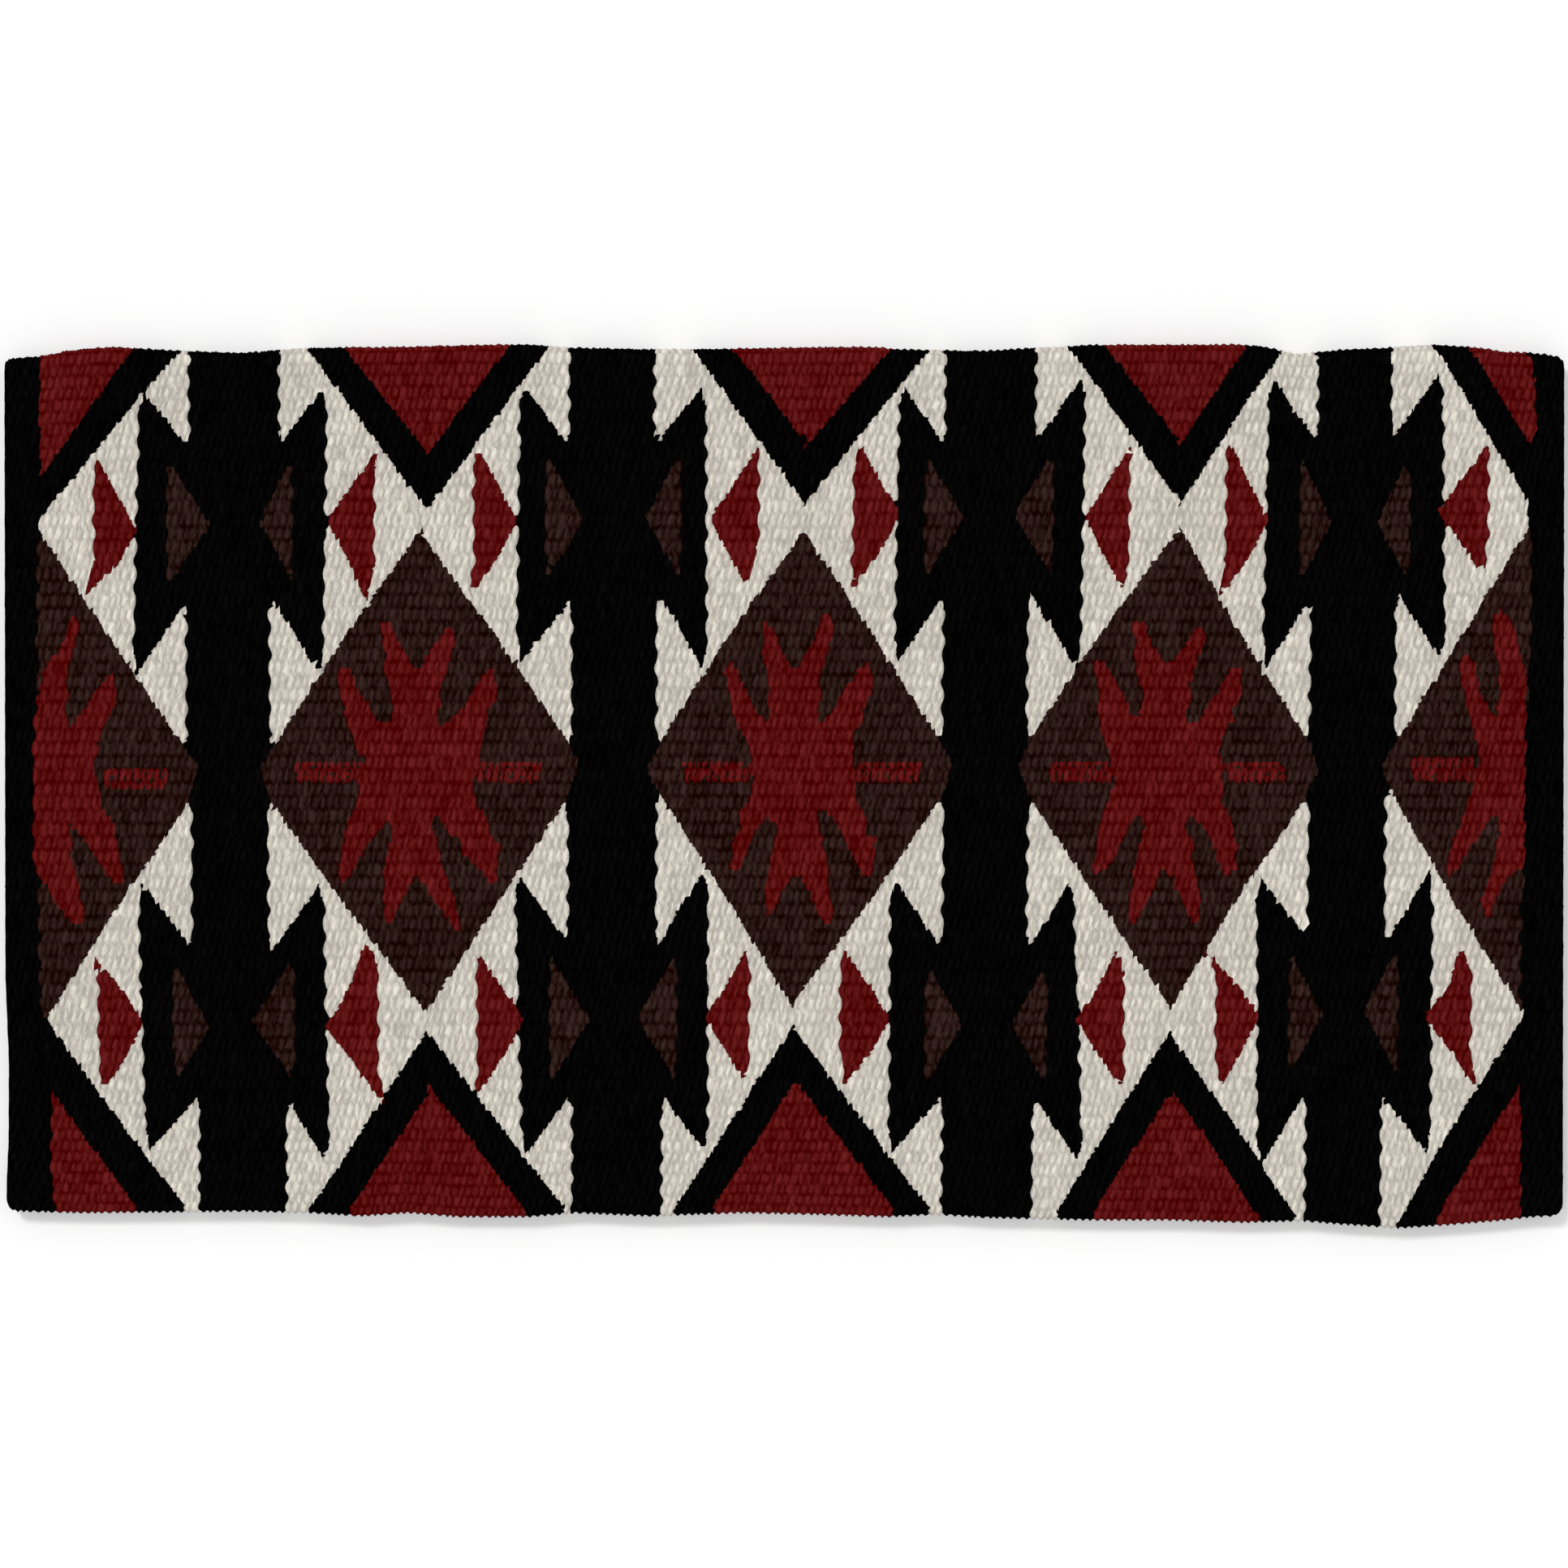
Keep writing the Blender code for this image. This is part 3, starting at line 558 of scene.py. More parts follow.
def row_edges():
    """Where each row of beads of a leaf begins, down from the fold line.

    The rows are closer together by the fold and by the selvedge, where they were beaten harder:
    the pitch is read off between a few heights, summed, and scaled to the leaf's drop.
    """
    sizes = bpy.context.scene.blanket_sizes
    y = np.linspace(PITCH_HEIGHTS[0], PITCH_HEIGHTS[-1], 4000)
    pitch = np.interp(y[1:], PITCH_HEIGHTS, PITCHES)
    count = np.concatenate([[0], np.cumsum(np.diff(y) / pitch)])
    edges = np.interp(np.linspace(0, count[-1], sizes.rows + 1), count, y)
    down = down_from_pixel(edges)
    start = sizes.rib_pitch / 2
    return start + (down - down[0]) * (sizes.leaf_drop - start) / (down[-1] - down[0])


def fold_radius():
    """Radius of the middle surface round the fold: the fold lines lie on its circle."""
    return bpy.context.scene.blanket_sizes.rib_pitch / 2 / math.tan(FOLD_BEND / 2)


def cloth_points(across, along, out):
    """Cloth coordinates to the folded cloth in space.

    On the fold, the middle surface is an arc that turns with along. On the leaves it goes straight
    on: level on the lower leaf, and down by the small tilt past a half turn on the upper one.
    A point then stands off it by out, along the surface's normal.
    """
    pitch = bpy.context.scene.blanket_sizes.rib_pitch
    radius = fold_radius()
    centre_y = FIRST_HINGE[1] - pitch / 2
    centre_z = FIRST_HINGE[2] + radius
    half_arc = 2 * pitch
    turn = np.clip(FOLD_TURN / 2 - along / (2 * half_arc) * FOLD_TURN, 0, FOLD_TURN)
    beyond = np.maximum(np.abs(along) - half_arc, 0) * np.sign(along)
    sine, cosine = np.sin(turn), np.cos(turn)
    y = centre_y + (radius + out) * sine - beyond * cosine
    z = centre_z - (radius + out) * cosine - beyond * sine
    return np.stack([across, y, z], -1)


def seen_down(along):
    """Down from the fold line as seen from above: on the fold, the outer face's own arc."""
    sizes = bpy.context.scene.blanket_sizes
    half_arc = 2 * sizes.rib_pitch
    past = np.abs(along)
    arc = np.cos(np.pi / 2 * np.minimum(past / half_arc, 1))
    return np.where(past < half_arc,
                    sizes.rib_pitch / 2 - (fold_radius() + sizes.thickness / 2) * arc,
                    past - 1.5 * sizes.rib_pitch)


def round_corner(across, along, half_length, half_way, radius):
    """Squares near a corner are drawn into a quarter disc: x' = x sqrt(1 - y y / 2), and so on."""
    x = (np.abs(across) - (half_length - radius)) / radius
    y = (np.abs(along) - (half_way - radius)) / radius
    near = (x > 0) & (y > 0)
    x1 = np.where(near, x * np.sqrt(np.maximum(1 - y * y / 2, 0)), x)
    y1 = np.where(near, y * np.sqrt(np.maximum(1 - x * x / 2, 0)), y)
    return (np.sign(across) * (half_length - radius + x1 * radius),
            np.sign(along) * (half_way - radius + y1 * radius))


def edge_drop(inset, radius):
    """How far a rounded edge falls below the face at a distance in from the rim."""
    inside_edge = np.clip(radius - inset, 0, radius)
    return radius - np.sqrt(radius * radius - inside_edge * inside_edge)


def cell_kinds(edges):
    """What each cell of the cloth belongs to. A cell is half a bead wide and half a bead tall.

    Where a colour's edge stands upright, whole beads belong to one side or the other, and the
    edge scallops from row to row. On a slant, the colours change by the cell.
    """
    sizes = bpy.context.scene.blanket_sizes
    half = sizes.length / 2
    rows, beads = len(edges) - 1, sizes.beads
    line = np.arange(2 * rows)
    row = line // 2
    cell = np.arange(2 * beads)
    along = edges[row] + np.diff(edges)[row] * (0.25 + 0.5 * (line % 2))
    x, y = to_pixels(*np.broadcast_arrays(
        (-half + (cell + 0.5) * half / beads)[None, :], seen_down(along)[:, None]))
    kind, column, side = pattern(x, y)
    # the same for whole beads, which an upright edge follows
    whole = np.arange(rows)
    bead_x, bead_y = to_pixels(
        -half + (np.arange(beads + 1)[None, :] + 0.5 - 0.5 * (whole[:, None] % 2))
        * sizes.length / beads,
        np.broadcast_to(seen_down((edges[:-1] + edges[1:]) / 2)[:, None], (rows, beads + 1)))
    bead = (cell[None, :] + row[:, None] % 2) // 2
    bead_kind = pattern(bead_x, bead_y)[0][row[:, None], bead]
    at = np.nonzero(bead_kind != kind)
    upright = nearest_edge(x[at], y[at], np.maximum(bead_kind, kind)[at])[2]
    kind[at] = np.where(upright, bead_kind[at], kind[at])
    # no colour touches itself only at a corner
    for _ in range(CORNER_PASSES):
        upper, lower = kind[:-1], kind[1:]
        falls = ((upper[:, :-1] == lower[:, 1:]) & (upper[:, 1:] != upper[:, :-1])
                 & (lower[:, :-1] != upper[:, :-1]))
        upper[:, 1:][falls] = upper[:, :-1][falls]
        rises = ((upper[:, 1:] == lower[:, :-1]) & (upper[:, :-1] != upper[:, 1:])
                 & (lower[:, 1:] != upper[:, 1:]))
        upper[:, :-1][rises] = upper[:, 1:][rises]
        if not falls.any() and not rises.any():
            break
    return kind, column, side


def draw_to_outlines(across, along, edges, kind, random):
    """How far each lattice point moves, across and along, so that the colours' edges run true.

    A point on a colour's edge goes to the nearest point of the motif's outline. On an upright
    edge it goes to a wave beside the outline, cos(pi (s - 1/2)) at row s, which bulges with each
    row's last bead. The points in between follow by averages of their neighbours.
    """
    sizes = bpy.context.scene.blanket_sizes
    # the points whose four squares are of more than one kind; the later kind's outline counts
    squares = np.pad(kind.repeat(2, 0).repeat(2, 1), 1, mode="edge")
    round_about = np.stack([squares[:-1, :-1], squares[:-1, 1:], squares[1:, :-1],
                            squares[1:, 1:]])
    top = round_about.max(0)
    edge = top != round_about.min(0)
    edge[[0, -1]] = False
    i, j = np.nonzero(edge)
    x, y = to_pixels(across[i, j], seen_down(along[i, j]))
    to_x, to_y, upright, away = nearest_edge(x, y, top[i, j])
    roughly = random.uniform(*DRAWN, x.shape) - STAR_DRAWN_LESS * (top[i, j] == STAR)
    move_x, move_y = (to_x - x) * roughly, (to_y - y) * roughly
    # on the fold a point goes along its row, which meets a slanting outline after d d / dx
    fold = np.abs(along[i, j]) < 2 * sizes.rib_pitch
    sideways = np.where(np.abs(move_x) > LEAST_MOVE, (move_x ** 2 + move_y ** 2)
                        / np.where(move_x == 0, 1, move_x), 0)
    move_x = np.where(fold, np.clip(sideways, -FOLD_REACH, FOLD_REACH), move_x)
    move_y = np.where(fold, 0, move_y)
    step_along = move_y * PIXEL * np.sign(along[i, j])

    # the wave beside an upright outline, and the corners where two rows' waves meet
    row, quarter = i // 4, i % 4
    pitch = np.diff(edges)[row]
    wide = sizes.length / (4 * sizes.beads) / PIXEL
    lattice_x = (j - 2 * sizes.beads) * wide + MIDDLE_PIXEL
    place = (to_x - MIDDLE_PIXEL) / wide + 2 * sizes.beads
    swing = (np.where(place % 4 < 2, -1, 1) * np.where(row % 2 == 0, 1, -1)
             * sizes.scallop / PIXEL * random.uniform(*SCALLOPS, kind.shape)[2 * row, j // 4])
    beside = np.clip(lattice_x - to_x, -CORNER_REACH, CORNER_REACH) * 0.5
    scalloped = to_x + np.where(quarter == 0, beside, swing * np.cos(np.pi * (quarter / 4 - 0.5)))
    move_x = np.where(upright, scalloped - x, move_x)
    joint = edges[row] + beside / (np.pi * swing) * pitch
    step_along = np.where(upright, np.where(quarter == 0, joint - along[i, j], 0), step_along)

    # the edges' points are held, and the others follow
    near = away < DRAWN_FROM
    i, j = i[near], j[near]
    fixed = np.zeros((2, *across.shape))
    fixed[0, i, j] = move_x[near] * PIXEL
    fixed[1, i, j] = step_along[near]
    held = np.zeros(across.shape, bool)
    held[i, j] = True
    moved = fixed.copy()
    for _ in range(SPREAD_PASSES):
        spread = np.pad(moved, ((0, 0), (1, 1), (1, 1)))
        spread = SPREAD_SHARE * (spread[:, :-2, 1:-1] + spread[:, 2:, 1:-1]
                                 + spread[:, 1:-1, :-2] + spread[:, 1:-1, 2:])
        moved = np.where(held, fixed, spread)
    moved[0][:, [0, -1]] = 0
    moved[1][[0, -1]] = 0
    moved[1][4 * (sizes.rows + np.arange(5))] = 0
    return moved


def bead_places(edges, row, quarter, phase, wander, random):
    """Where each lattice point lies along and across, and how far its bead leans there.

    Along is the row's beginning plus a quarter of its pitch per line. Where two rows meet, this
    row's beads reach back between the last row's, and the last row's reach on. The lean is the
    distance from the bead's middle times the tangent of its slant.
    """
    sizes = bpy.context.scene.blanket_sizes
    pitch = np.diff(edges)
    columns = phase.shape[1] - 1
    across = -sizes.length / 2 + np.arange(columns + 1) * sizes.length / columns + wander
    along = np.broadcast_to((edges[row] + pitch[row] * quarter / 4)[:, None], phase.shape).copy()
    row_pitch = np.broadcast_to(pitch[row][:, None], phase.shape)

    tip = (quarter == 0)[:, None]
    starts, ends = tip & (phase == 2), tip & (phase == 0)
    fold_lines = 4 * (sizes.rows + np.arange(5))
    cut = np.isin(np.arange(len(row)), fold_lines)[:, None]
    along += np.where(cut, 0, sizes.interlock * row_pitch) * (ends * 1.0 - starts * 1.0)
    along += np.where(tip & ~cut, random.uniform(-TIP_STRAY, TIP_STRAY, along.shape) * row_pitch,
                      0)
    along[0] = edges[0] + np.where(phase[0] == 2, -RIM_REACH, RIM_DRAW) * pitch[0]
    along[-1] = edges[-1] + np.where(phase[-1] == 2, RIM_REACH, -RIM_DRAW) * pitch[-1]

    slope = math.tan(sizes.lean)
    lean = np.where(quarter[:, None] % 4 == 0, 0, (quarter[:, None] / 4 - 0.5) * row_pitch * slope)
    reach = 0.5 * row_pitch * slope * TIP_LEAN
    lean = lean + np.where(starts & ~cut, -reach, 0) + np.where(ends & ~cut, reach, 0)
    lean[:, [0, -1]] = 0
    return across, along, lean


def face_heights(row, quarter, phase, bead, random):
    """How high the outer face stands over the groove: a bead's profile, times its fullness, plus
    a roughness from point to point."""
    height = np.where((quarter == 2)[:, None], CROWN[phase],
                      np.where((quarter % 4 == 0)[:, None], TIP[phase], SHOULDER[phase]))
    fuller = 1 + FULLER_BEADS * random.standard_normal(
        (len(bead), bead.max() + 2))[row[:, None], bead[row]]
    height = height * np.clip(fuller, *FULLEST) + random.uniform(
        -ROUGH_FACE, ROUGH_FACE, height.shape)
    height = np.clip(height, 0, HIGHEST)
    height[0] = height[-1] = RIM_HEIGHT
    return height


def lay(across, along, lean, height, end_along):
    """The points of the outer and the inner face in space, from the flat lattice.

    The faces stand half a thickness off the middle, less the relief times what the height lacks
    to 1, and fall by a quarter round to the rims. The fold's edge, the selvedges and the left end
    wander as their tables say, and the motifs' axes lean as drift() says. The upper leaf's swells
    are two sines of the place, so that it lies a little above the lower leaf.
    """
    sizes = bpy.context.scene.blanket_sizes
    half, half_arc = sizes.length / 2, 2 * sizes.rib_pitch
    out = sizes.thickness / 2 - sizes.relief * (1 - height)
    back = -out
    x = across / PIXEL + MIDDLE_PIXEL
    stands_out = np.interp(x, *FOLD_EDGE.T) * PIXEL
    fuller_fold = FULL_SHARE * stands_out * np.cos(np.pi / 2 * np.clip(along / half_arc, -1, 1))
    inset_end = np.clip(half - np.abs(across), 0, None)
    inset_rim = np.clip(end_along - np.abs(along), 0, None)
    fall = np.maximum(edge_drop(inset_end, RIM_RADIUS), edge_drop(inset_rim, RIM_RADIUS))
    fall = RIM_FALL * np.minimum(fall, MOST_FALL * (sizes.thickness + fuller_fold))
    out = out + fuller_fold - fall
    back = back + fall

    down = np.maximum(np.abs(along) - half_arc, 0)
    creep = drift(across, down) * smooth(inset_end / DRIFT_FADE)
    inward = np.interp(down / PIXEL + FOLD_PIXEL, *END_EDGE.T) * PIXEL * smooth(
        (EDGE_FADE - (across + half)) / EDGE_FADE)
    longer = (np.interp(x, *SELVEDGE_EDGE.T) * PIXEL
              - np.where(along < 0, 0, LOWER_LEAF_SHORTER)) * smooth(1 - inset_rim / EDGE_FADE)
    swell = 0.5 + 0.25 * np.sin(across * SWELL_ACROSS[0] + SWELL_ACROSS[1]) + 0.25 * np.sin(
        across * SWELL_SLANT[0] - down * SWELL_SLANT[1] + SWELL_SLANT[2])
    lift = SWELL_LIFT * swell * smooth((-along - half_arc) / EDGE_FADE)
    faces = []
    for leaning, off in ((lean, out), (-lean * INNER_LEAN, back)):
        face_across, face_along = round_corner(
            across + leaning + creep + inward, along, half, end_along, CORNER_RADIUS)
        face = cloth_points(face_across, face_along + np.sign(along) * longer, off)
        face[..., 1] += PLACE_SHARE * stands_out * smooth(1 - down / FOLD_FADE)
        face[..., 2] += lift
        faces.append(face)
    return faces


def weave():
    """The whole lattice: points of both faces, and the bead under each square.

    A bead has four squares across and four along. Its top is high along the middle and falls to
    the grooves on its sides. Where two rows meet, a bead's tip runs on between two beads of the
    next row, and the tips lean sideways, so that the beads slant as a plied yarn does.
    """
    sizes = bpy.context.scene.blanket_sizes
    random = np.random.default_rng(11)
    beads = sizes.beads
    rows, columns = 2 * sizes.rows + 4, 4 * beads
    half_arc = 2 * sizes.rib_pitch
    leaf = row_edges() + 1.5 * sizes.rib_pitch
    edges = np.concatenate([-leaf[::-1], np.linspace(-half_arc, half_arc, 5)[1:-1], leaf])

    # each line's row and quarter of a row, and each point's bead and quarter of a bead
    line = np.arange(4 * rows + 1)
    row = np.minimum(line // 4, rows - 1)
    quarter = line - 4 * row
    place = np.arange(columns + 1) + 2 * (np.arange(rows)[:, None] % 2)
    bead, part = place // 4, place % 4 / 4
    phase = (place % 4)[row]

    # no two beads are as wide: each groove stands a little to one side of its place
    grooves = random.uniform(-1, 1, (rows, beads + 3)) * sizes.uneven * sizes.length / beads
    strays = np.take_along_axis(grooves, bead, 1) * (1 - part) + np.take_along_axis(
        grooves, bead + 1, 1) * part
    wander = (strays[np.maximum(row - (quarter == 0), 0)] + strays[row]) / 2
    wander[:, [0, -1]] = 0

    across, along, lean = bead_places(edges, row, quarter, phase, wander, random)
    kind, column, side = cell_kinds(edges)
    moved = draw_to_outlines(across + lean, along, edges, kind, random)
    across, along = across + moved[0], along + moved[1]
    height = face_heights(row, quarter, phase, bead, random)
    outer, inner = lay(across, along, lean, height, edges[-1])

    tone = np.clip(random.standard_normal((rows, beads + 1)) * TONE_SPREAD, -1, 1)
    row_line = np.clip(1 + ROW_SEAM_SHADE_SPREAD * random.standard_normal((rows + 1, beads + 2)),
                       0, STRONGEST_ROW_SEAM_SHADE)
    square_row = row[:-1, None]
    return {
        "outer": outer, "inner": inner, "rows": rows, "columns": columns,
        "kind": kind, "column": column, "side": side, "leaf_rows": sizes.rows,
        "tone": tone[square_row, bead[square_row[:, 0], :-1]],
        "groove": 1 - np.minimum(height, 1),
        # groove is 1 at the bottom of a groove; the wools paint shade into the grooves with it
        "row_line": np.where((quarter % 4 == 0)[:, None],
                             # a painted shade along the seam where two rows meet, on the lines of
                             # the tips
                             row_line[(line // 4)[:, None], bead[row]], 0),
        "fleck": random.uniform(0, 1, (4 * rows, columns)),
        "across": across, "along": along,
    }


CLOTH = {}


def cloth():
    """The lattice, woven once."""
    if not CLOTH:
        CLOTH.update(weave())
    return CLOTH


def fill(node, inputs):
    """Give each named input of a node its constant, or a link from a socket."""
    for name, value in inputs.items():
        if isinstance(value, bpy.types.NodeSocket):
            node.id_data.links.new(value, node.inputs[name])
        else:
            node.inputs[name].default_value = value


def add_node(tree, kind, inputs, **settings):
    """A shader node with its settings and its inputs."""
    node = tree.nodes.new("ShaderNode" + kind)
    for name, value in settings.items():
        setattr(node, name, value)
    fill(node, inputs)
    return node


def wool(name, shaded_colour, crown_colour_with_sheen, specular, contrast, row_line):
    """Dyed wool, mixed between two copies of its colour: a darker one that paints the shade in the
    grooves, and a paler one on the crowns, for the pale fibres there and a painted sheen on them.

    The share of the paler copy is a sum: strands of fibre along the slant of the yarn, the height
    over the groove, which paints shade into the grooves and light onto the crowns, a darker line
    where two rows meet, which paints the shade of the seam between them, each bead's own tone,
    and a slow change over the cloth. A power of it makes the pale fibres fewer.
    """
    made = bpy.data.materials.new(name)
    made.use_nodes = True
    made.diffuse_color = (*crown_colour_with_sheen, 1.0)
    tree = made.node_tree
    uv = add_node(tree, "UVMap", {}, uv_map="cloth").outputs["UV"]

    def noise(size, turned):
        placed = add_node(tree, "Mapping", {"Vector": uv, "Scale": (*size, 1),
                                            "Rotation": (0, 0, turned)}, vector_type="TEXTURE")
        return add_node(tree, "TexNoise", {"Vector": placed.outputs["Vector"], "Scale": 1.0,
                                           "Detail": 2.0}).outputs["Fac"]

    def attribute(called):
        return add_node(tree, "Attribute", {}, attribute_name=called).outputs["Fac"]

    strands = noise(STRAND_SIZE, -STRAND_SLANT)
    share = None
    for source, (low, high), (at_low, at_high) in (
            (strands, NOISE_RANGE, (0.25 - 0.37 * contrast, 0.25 + 0.37 * contrast)),
            # the height over the groove: painted shade in the grooves, painted light on the crowns
            (attribute("groove"), (0, 1), (0.16 + 0.38 * contrast, 0.16 - 0.38 * contrast)),
            # the seam between two rows: a painted shade along it
            (attribute("row_line"), (0, 1), (row_line / 4, -row_line * 3 / 4)),
            (attribute("tone"), (-1, 1), (-BEAD_TONE, BEAD_TONE)),
            (noise(CLOUD_SIZE, 0), NOISE_RANGE, (-CLOUD_TONE, CLOUD_TONE))):
        part = add_node(tree, "MapRange", {"Value": source, "From Min": low, "From Max": high,
                                           "To Min": at_low, "To Max": at_high}, clamp=False)
        part = part.outputs["Result"]
        share = part if share is None else add_node(
            tree, "Math", {0: share, 1: part}, operation="ADD").outputs["Value"]
    paler = add_node(tree, "Math", {0: share, 1: PALE_POWER}, operation="POWER", use_clamp=True)
    # the darker copy is the painted shade of the grooves, the paler one the crowns' fibres with a
    # painted sheen
    dyed = add_node(tree, "Mix", {"Factor": paler.outputs["Value"], "A": (*shaded_colour, 1),
                                  "B": (*crown_colour_with_sheen, 1)}, data_type="RGBA")
    bump = add_node(tree, "Bump", {"Height": strands, "Strength": 0.5, "Distance": FIBRE_RELIEF})
    fill(tree.nodes["Principled BSDF"], {
        "Roughness": 0.95, "Specular IOR Level": specular,
        "Base Color": dyed.outputs["Result"], "Normal": bump.outputs["Normal"]})
    return made


def wools():
    """The four wools, made once: the painted groove shade is the pale one times shares per
    channel.
    """
    colours = bpy.context.scene.blanket_colours
    # pale colour, with a painted sheen on the crowns; the shares of it that the painted groove
    # shade keeps; specular; contrast; strength of the painted shade on the seams between rows
    recipes = {
        "black": (colours.black, (0.1, 0.1, 0.1), 0.0, 1.0, 0.0),
        "white": (colours.white, (0.53, 0.525, 0.525), 0.05, 0.97, 0.06),
        "red": (colours.red, (0.42, 0.01, 0.01), 0.0, 0.85, 0.26),
        "brown": (colours.brown, (0.18, 0.05, 0.01), 0.0, 0.8, 0.26),
    }
    found = []
    for name in WOOLS:
        colour, shares, specular, contrast, row_line = recipes[name]
        shaded_colour = tuple(a * b for a, b in zip(colour, shares))
        found.append(bpy.data.materials.get(name + "_wool")
                     or wool(name + "_wool", shaded_colour, tuple(colour), specular, contrast, row_line))
    return found


def kind_colours(kind):
    """The wool's place in WOOLS for each kind."""
    return np.array([WOOLS.index(name) for name in COLOUR_OF])[kind]


def piece_faces(cells, rows, columns):
    """The faces of a closed piece, by the numbers of their lattice points, and their squares.

    The outer face keeps every square. The inner face joins them by fours. Round the rim, a wall of
    five-sided faces joins the two: two corners inside, and three outside. The walls stand first
    between the cells of a line, then between two lines.
    """
    outer = np.arange((4 * rows + 1) * (columns + 1)).reshape(4 * rows + 1, columns + 1)
    inner = np.arange((2 * rows + 1) * (columns // 2 + 1)).reshape(
        2 * rows + 1, columns // 2 + 1) + outer.size

    def squares(points, where, turned):
        corners = [points[:-1, :-1], points[:-1, 1:], points[1:, 1:], points[1:, :-1]]
        return np.stack([c[where] for c in (corners[::-1] if turned else corners)], -1)

    fine = cells.repeat(2, 0).repeat(2, 1)
    padded = np.pad(cells, 1)
    walls, places = [], [np.stack(np.nonzero(fine)), 2 * np.stack(np.nonzero(cells))]
    for step_i, step_j in ((1, 0), (0, 1)):
        before = padded[step_i:-1, step_j:-1]
        after = padded[1:padded.shape[0] - step_i, 1:padded.shape[1] - step_j]
        for far, where in enumerate((after & ~before, before & ~after)):
            i, j = np.nonzero(where)
            corners = [inner[i, j], inner[i + step_i, j + step_j],
                       outer[2 * (i + step_i), 2 * (j + step_j)],
                       outer[2 * i + step_i, 2 * j + step_j], outer[2 * i, 2 * j]]
            walls.append(np.stack(corners if far != step_j else corners[::-1], -1))
            places.append(2 * np.stack([i - far * step_j, j - far * step_i]))
    return ([squares(outer, fine, False), squares(inner, cells, True), np.concatenate(walls)],
            np.concatenate(places, 1))


def put(collection, name, values, kind=np.float32):
    """Set one property of every item of a collection at once."""
    collection.foreach_set(name, np.ascontiguousarray(values, kind).ravel())


def woven_piece(name, cells):
    """A closed piece of cloth out of the lattice, from the cells that belong to it."""
    data = cloth()
    faces, (face_i, face_j) = piece_faces(cells, data["rows"], data["columns"])
    used, corners = np.unique(np.concatenate([part.ravel() for part in faces]),
                              return_inverse=True)
    corners = corners.ravel()
    counts = np.concatenate([np.full(len(part), part.shape[1]) for part in faces])

    def at_points(outer, inner):
        return np.concatenate([outer.reshape(-1, *outer.shape[2:]),
                               inner[::2, ::2].reshape(-1, *inner.shape[2:])])[used]

    mesh = bpy.data.meshes.new(name)
    mesh.vertices.add(len(used))
    put(mesh.vertices, "co", at_points(data["outer"], data["inner"]))
    mesh.loops.add(len(corners))
    put(mesh.loops, "vertex_index", corners, np.int32)
    mesh.polygons.add(len(counts))
    put(mesh.polygons, "loop_start", np.concatenate([[0], np.cumsum(counts)[:-1]]), np.int32)
    mesh.update(calc_edges=True)

    kind = data["kind"][face_i // 2, face_j // 2]
    colour = kind_colours(kind)
    # in a bar, brown shows in most of the grooves beside a bead, and in a few flecks
    beside = (face_j + 2 * (face_i // 4 % 2)) % 4 == 3
    shows = data["fleck"][face_i, face_j] < BAR_FLECKS + BAR_GROOVES * beside
    colour[(kind == BAR) & shows] = WOOLS.index("brown")
    present = sorted(set(colour.tolist()))
    for place in present:
        mesh.materials.append(wools()[place])
    put(mesh.polygons, "material_index", np.searchsorted(present, colour), np.int32)
    put(mesh.polygons, "use_smooth", np.ones(len(counts)), bool)
    put(mesh.attributes.new("tone", "FLOAT", "FACE").data, "value", data["tone"][face_i, face_j])
    # the values with which the wools paint shade into the grooves and along the seams between rows
    for called in ("groove", "row_line"):
        put(mesh.attributes.new(called, "FLOAT", "POINT").data, "value",
            at_points(data[called], data[called]))
    plane = np.stack([at_points(data[way], data[way]) for way in ("across", "along")], -1)
    put(mesh.uv_layers.new(name="cloth").data, "uv", plane[corners])

    # the rim between face and wall stays crisp
    wall = np.arange(len(counts)) >= len(faces[0]) + len(faces[1])
    loop_edge = np.zeros(len(corners), np.int32)
    mesh.loops.foreach_get("edge_index", loop_edge)
    walls_at = np.bincount(loop_edge, weights=np.repeat(wall, counts), minlength=len(mesh.edges))
    faces_at = np.bincount(loop_edge, minlength=len(mesh.edges))
    put(mesh.attributes.new("sharp_edge", "BOOLEAN", "EDGE").data, "value",
        (walls_at > 0) & (faces_at > walls_at) | (walls_at > 1), bool)
    mesh.validate(verbose=False)
    piece = bpy.data.objects.new(name, mesh)
    bpy.context.scene.collection.objects.link(piece)
    return piece


def upper_owner():
    """For each cell of the upper leaf, the number of its CAD node, and the list of nodes."""
    data = cloth()
    if "owner" not in data:
        names, owner = [], np.full(data["kind"].shape, -1)
        span = slice(0, 2 * data["leaf_rows"])
        kind, column, side = (data[key][span] for key in ("kind", "column", "side"))
        code = kind * 100 + column * 10 + (side == RIGHT)
        for value in np.unique(code):
            name = node_of(int(value) // 100, int(value) // 10 % 10,
                           RIGHT if value % 2 else LEFT)
            if name not in names:
                names.append(name)
            owner[span][code == value] = names.index(name)
        data["owner"], data["owner_names"] = owner, names
    return data["owner"], data["owner_names"]


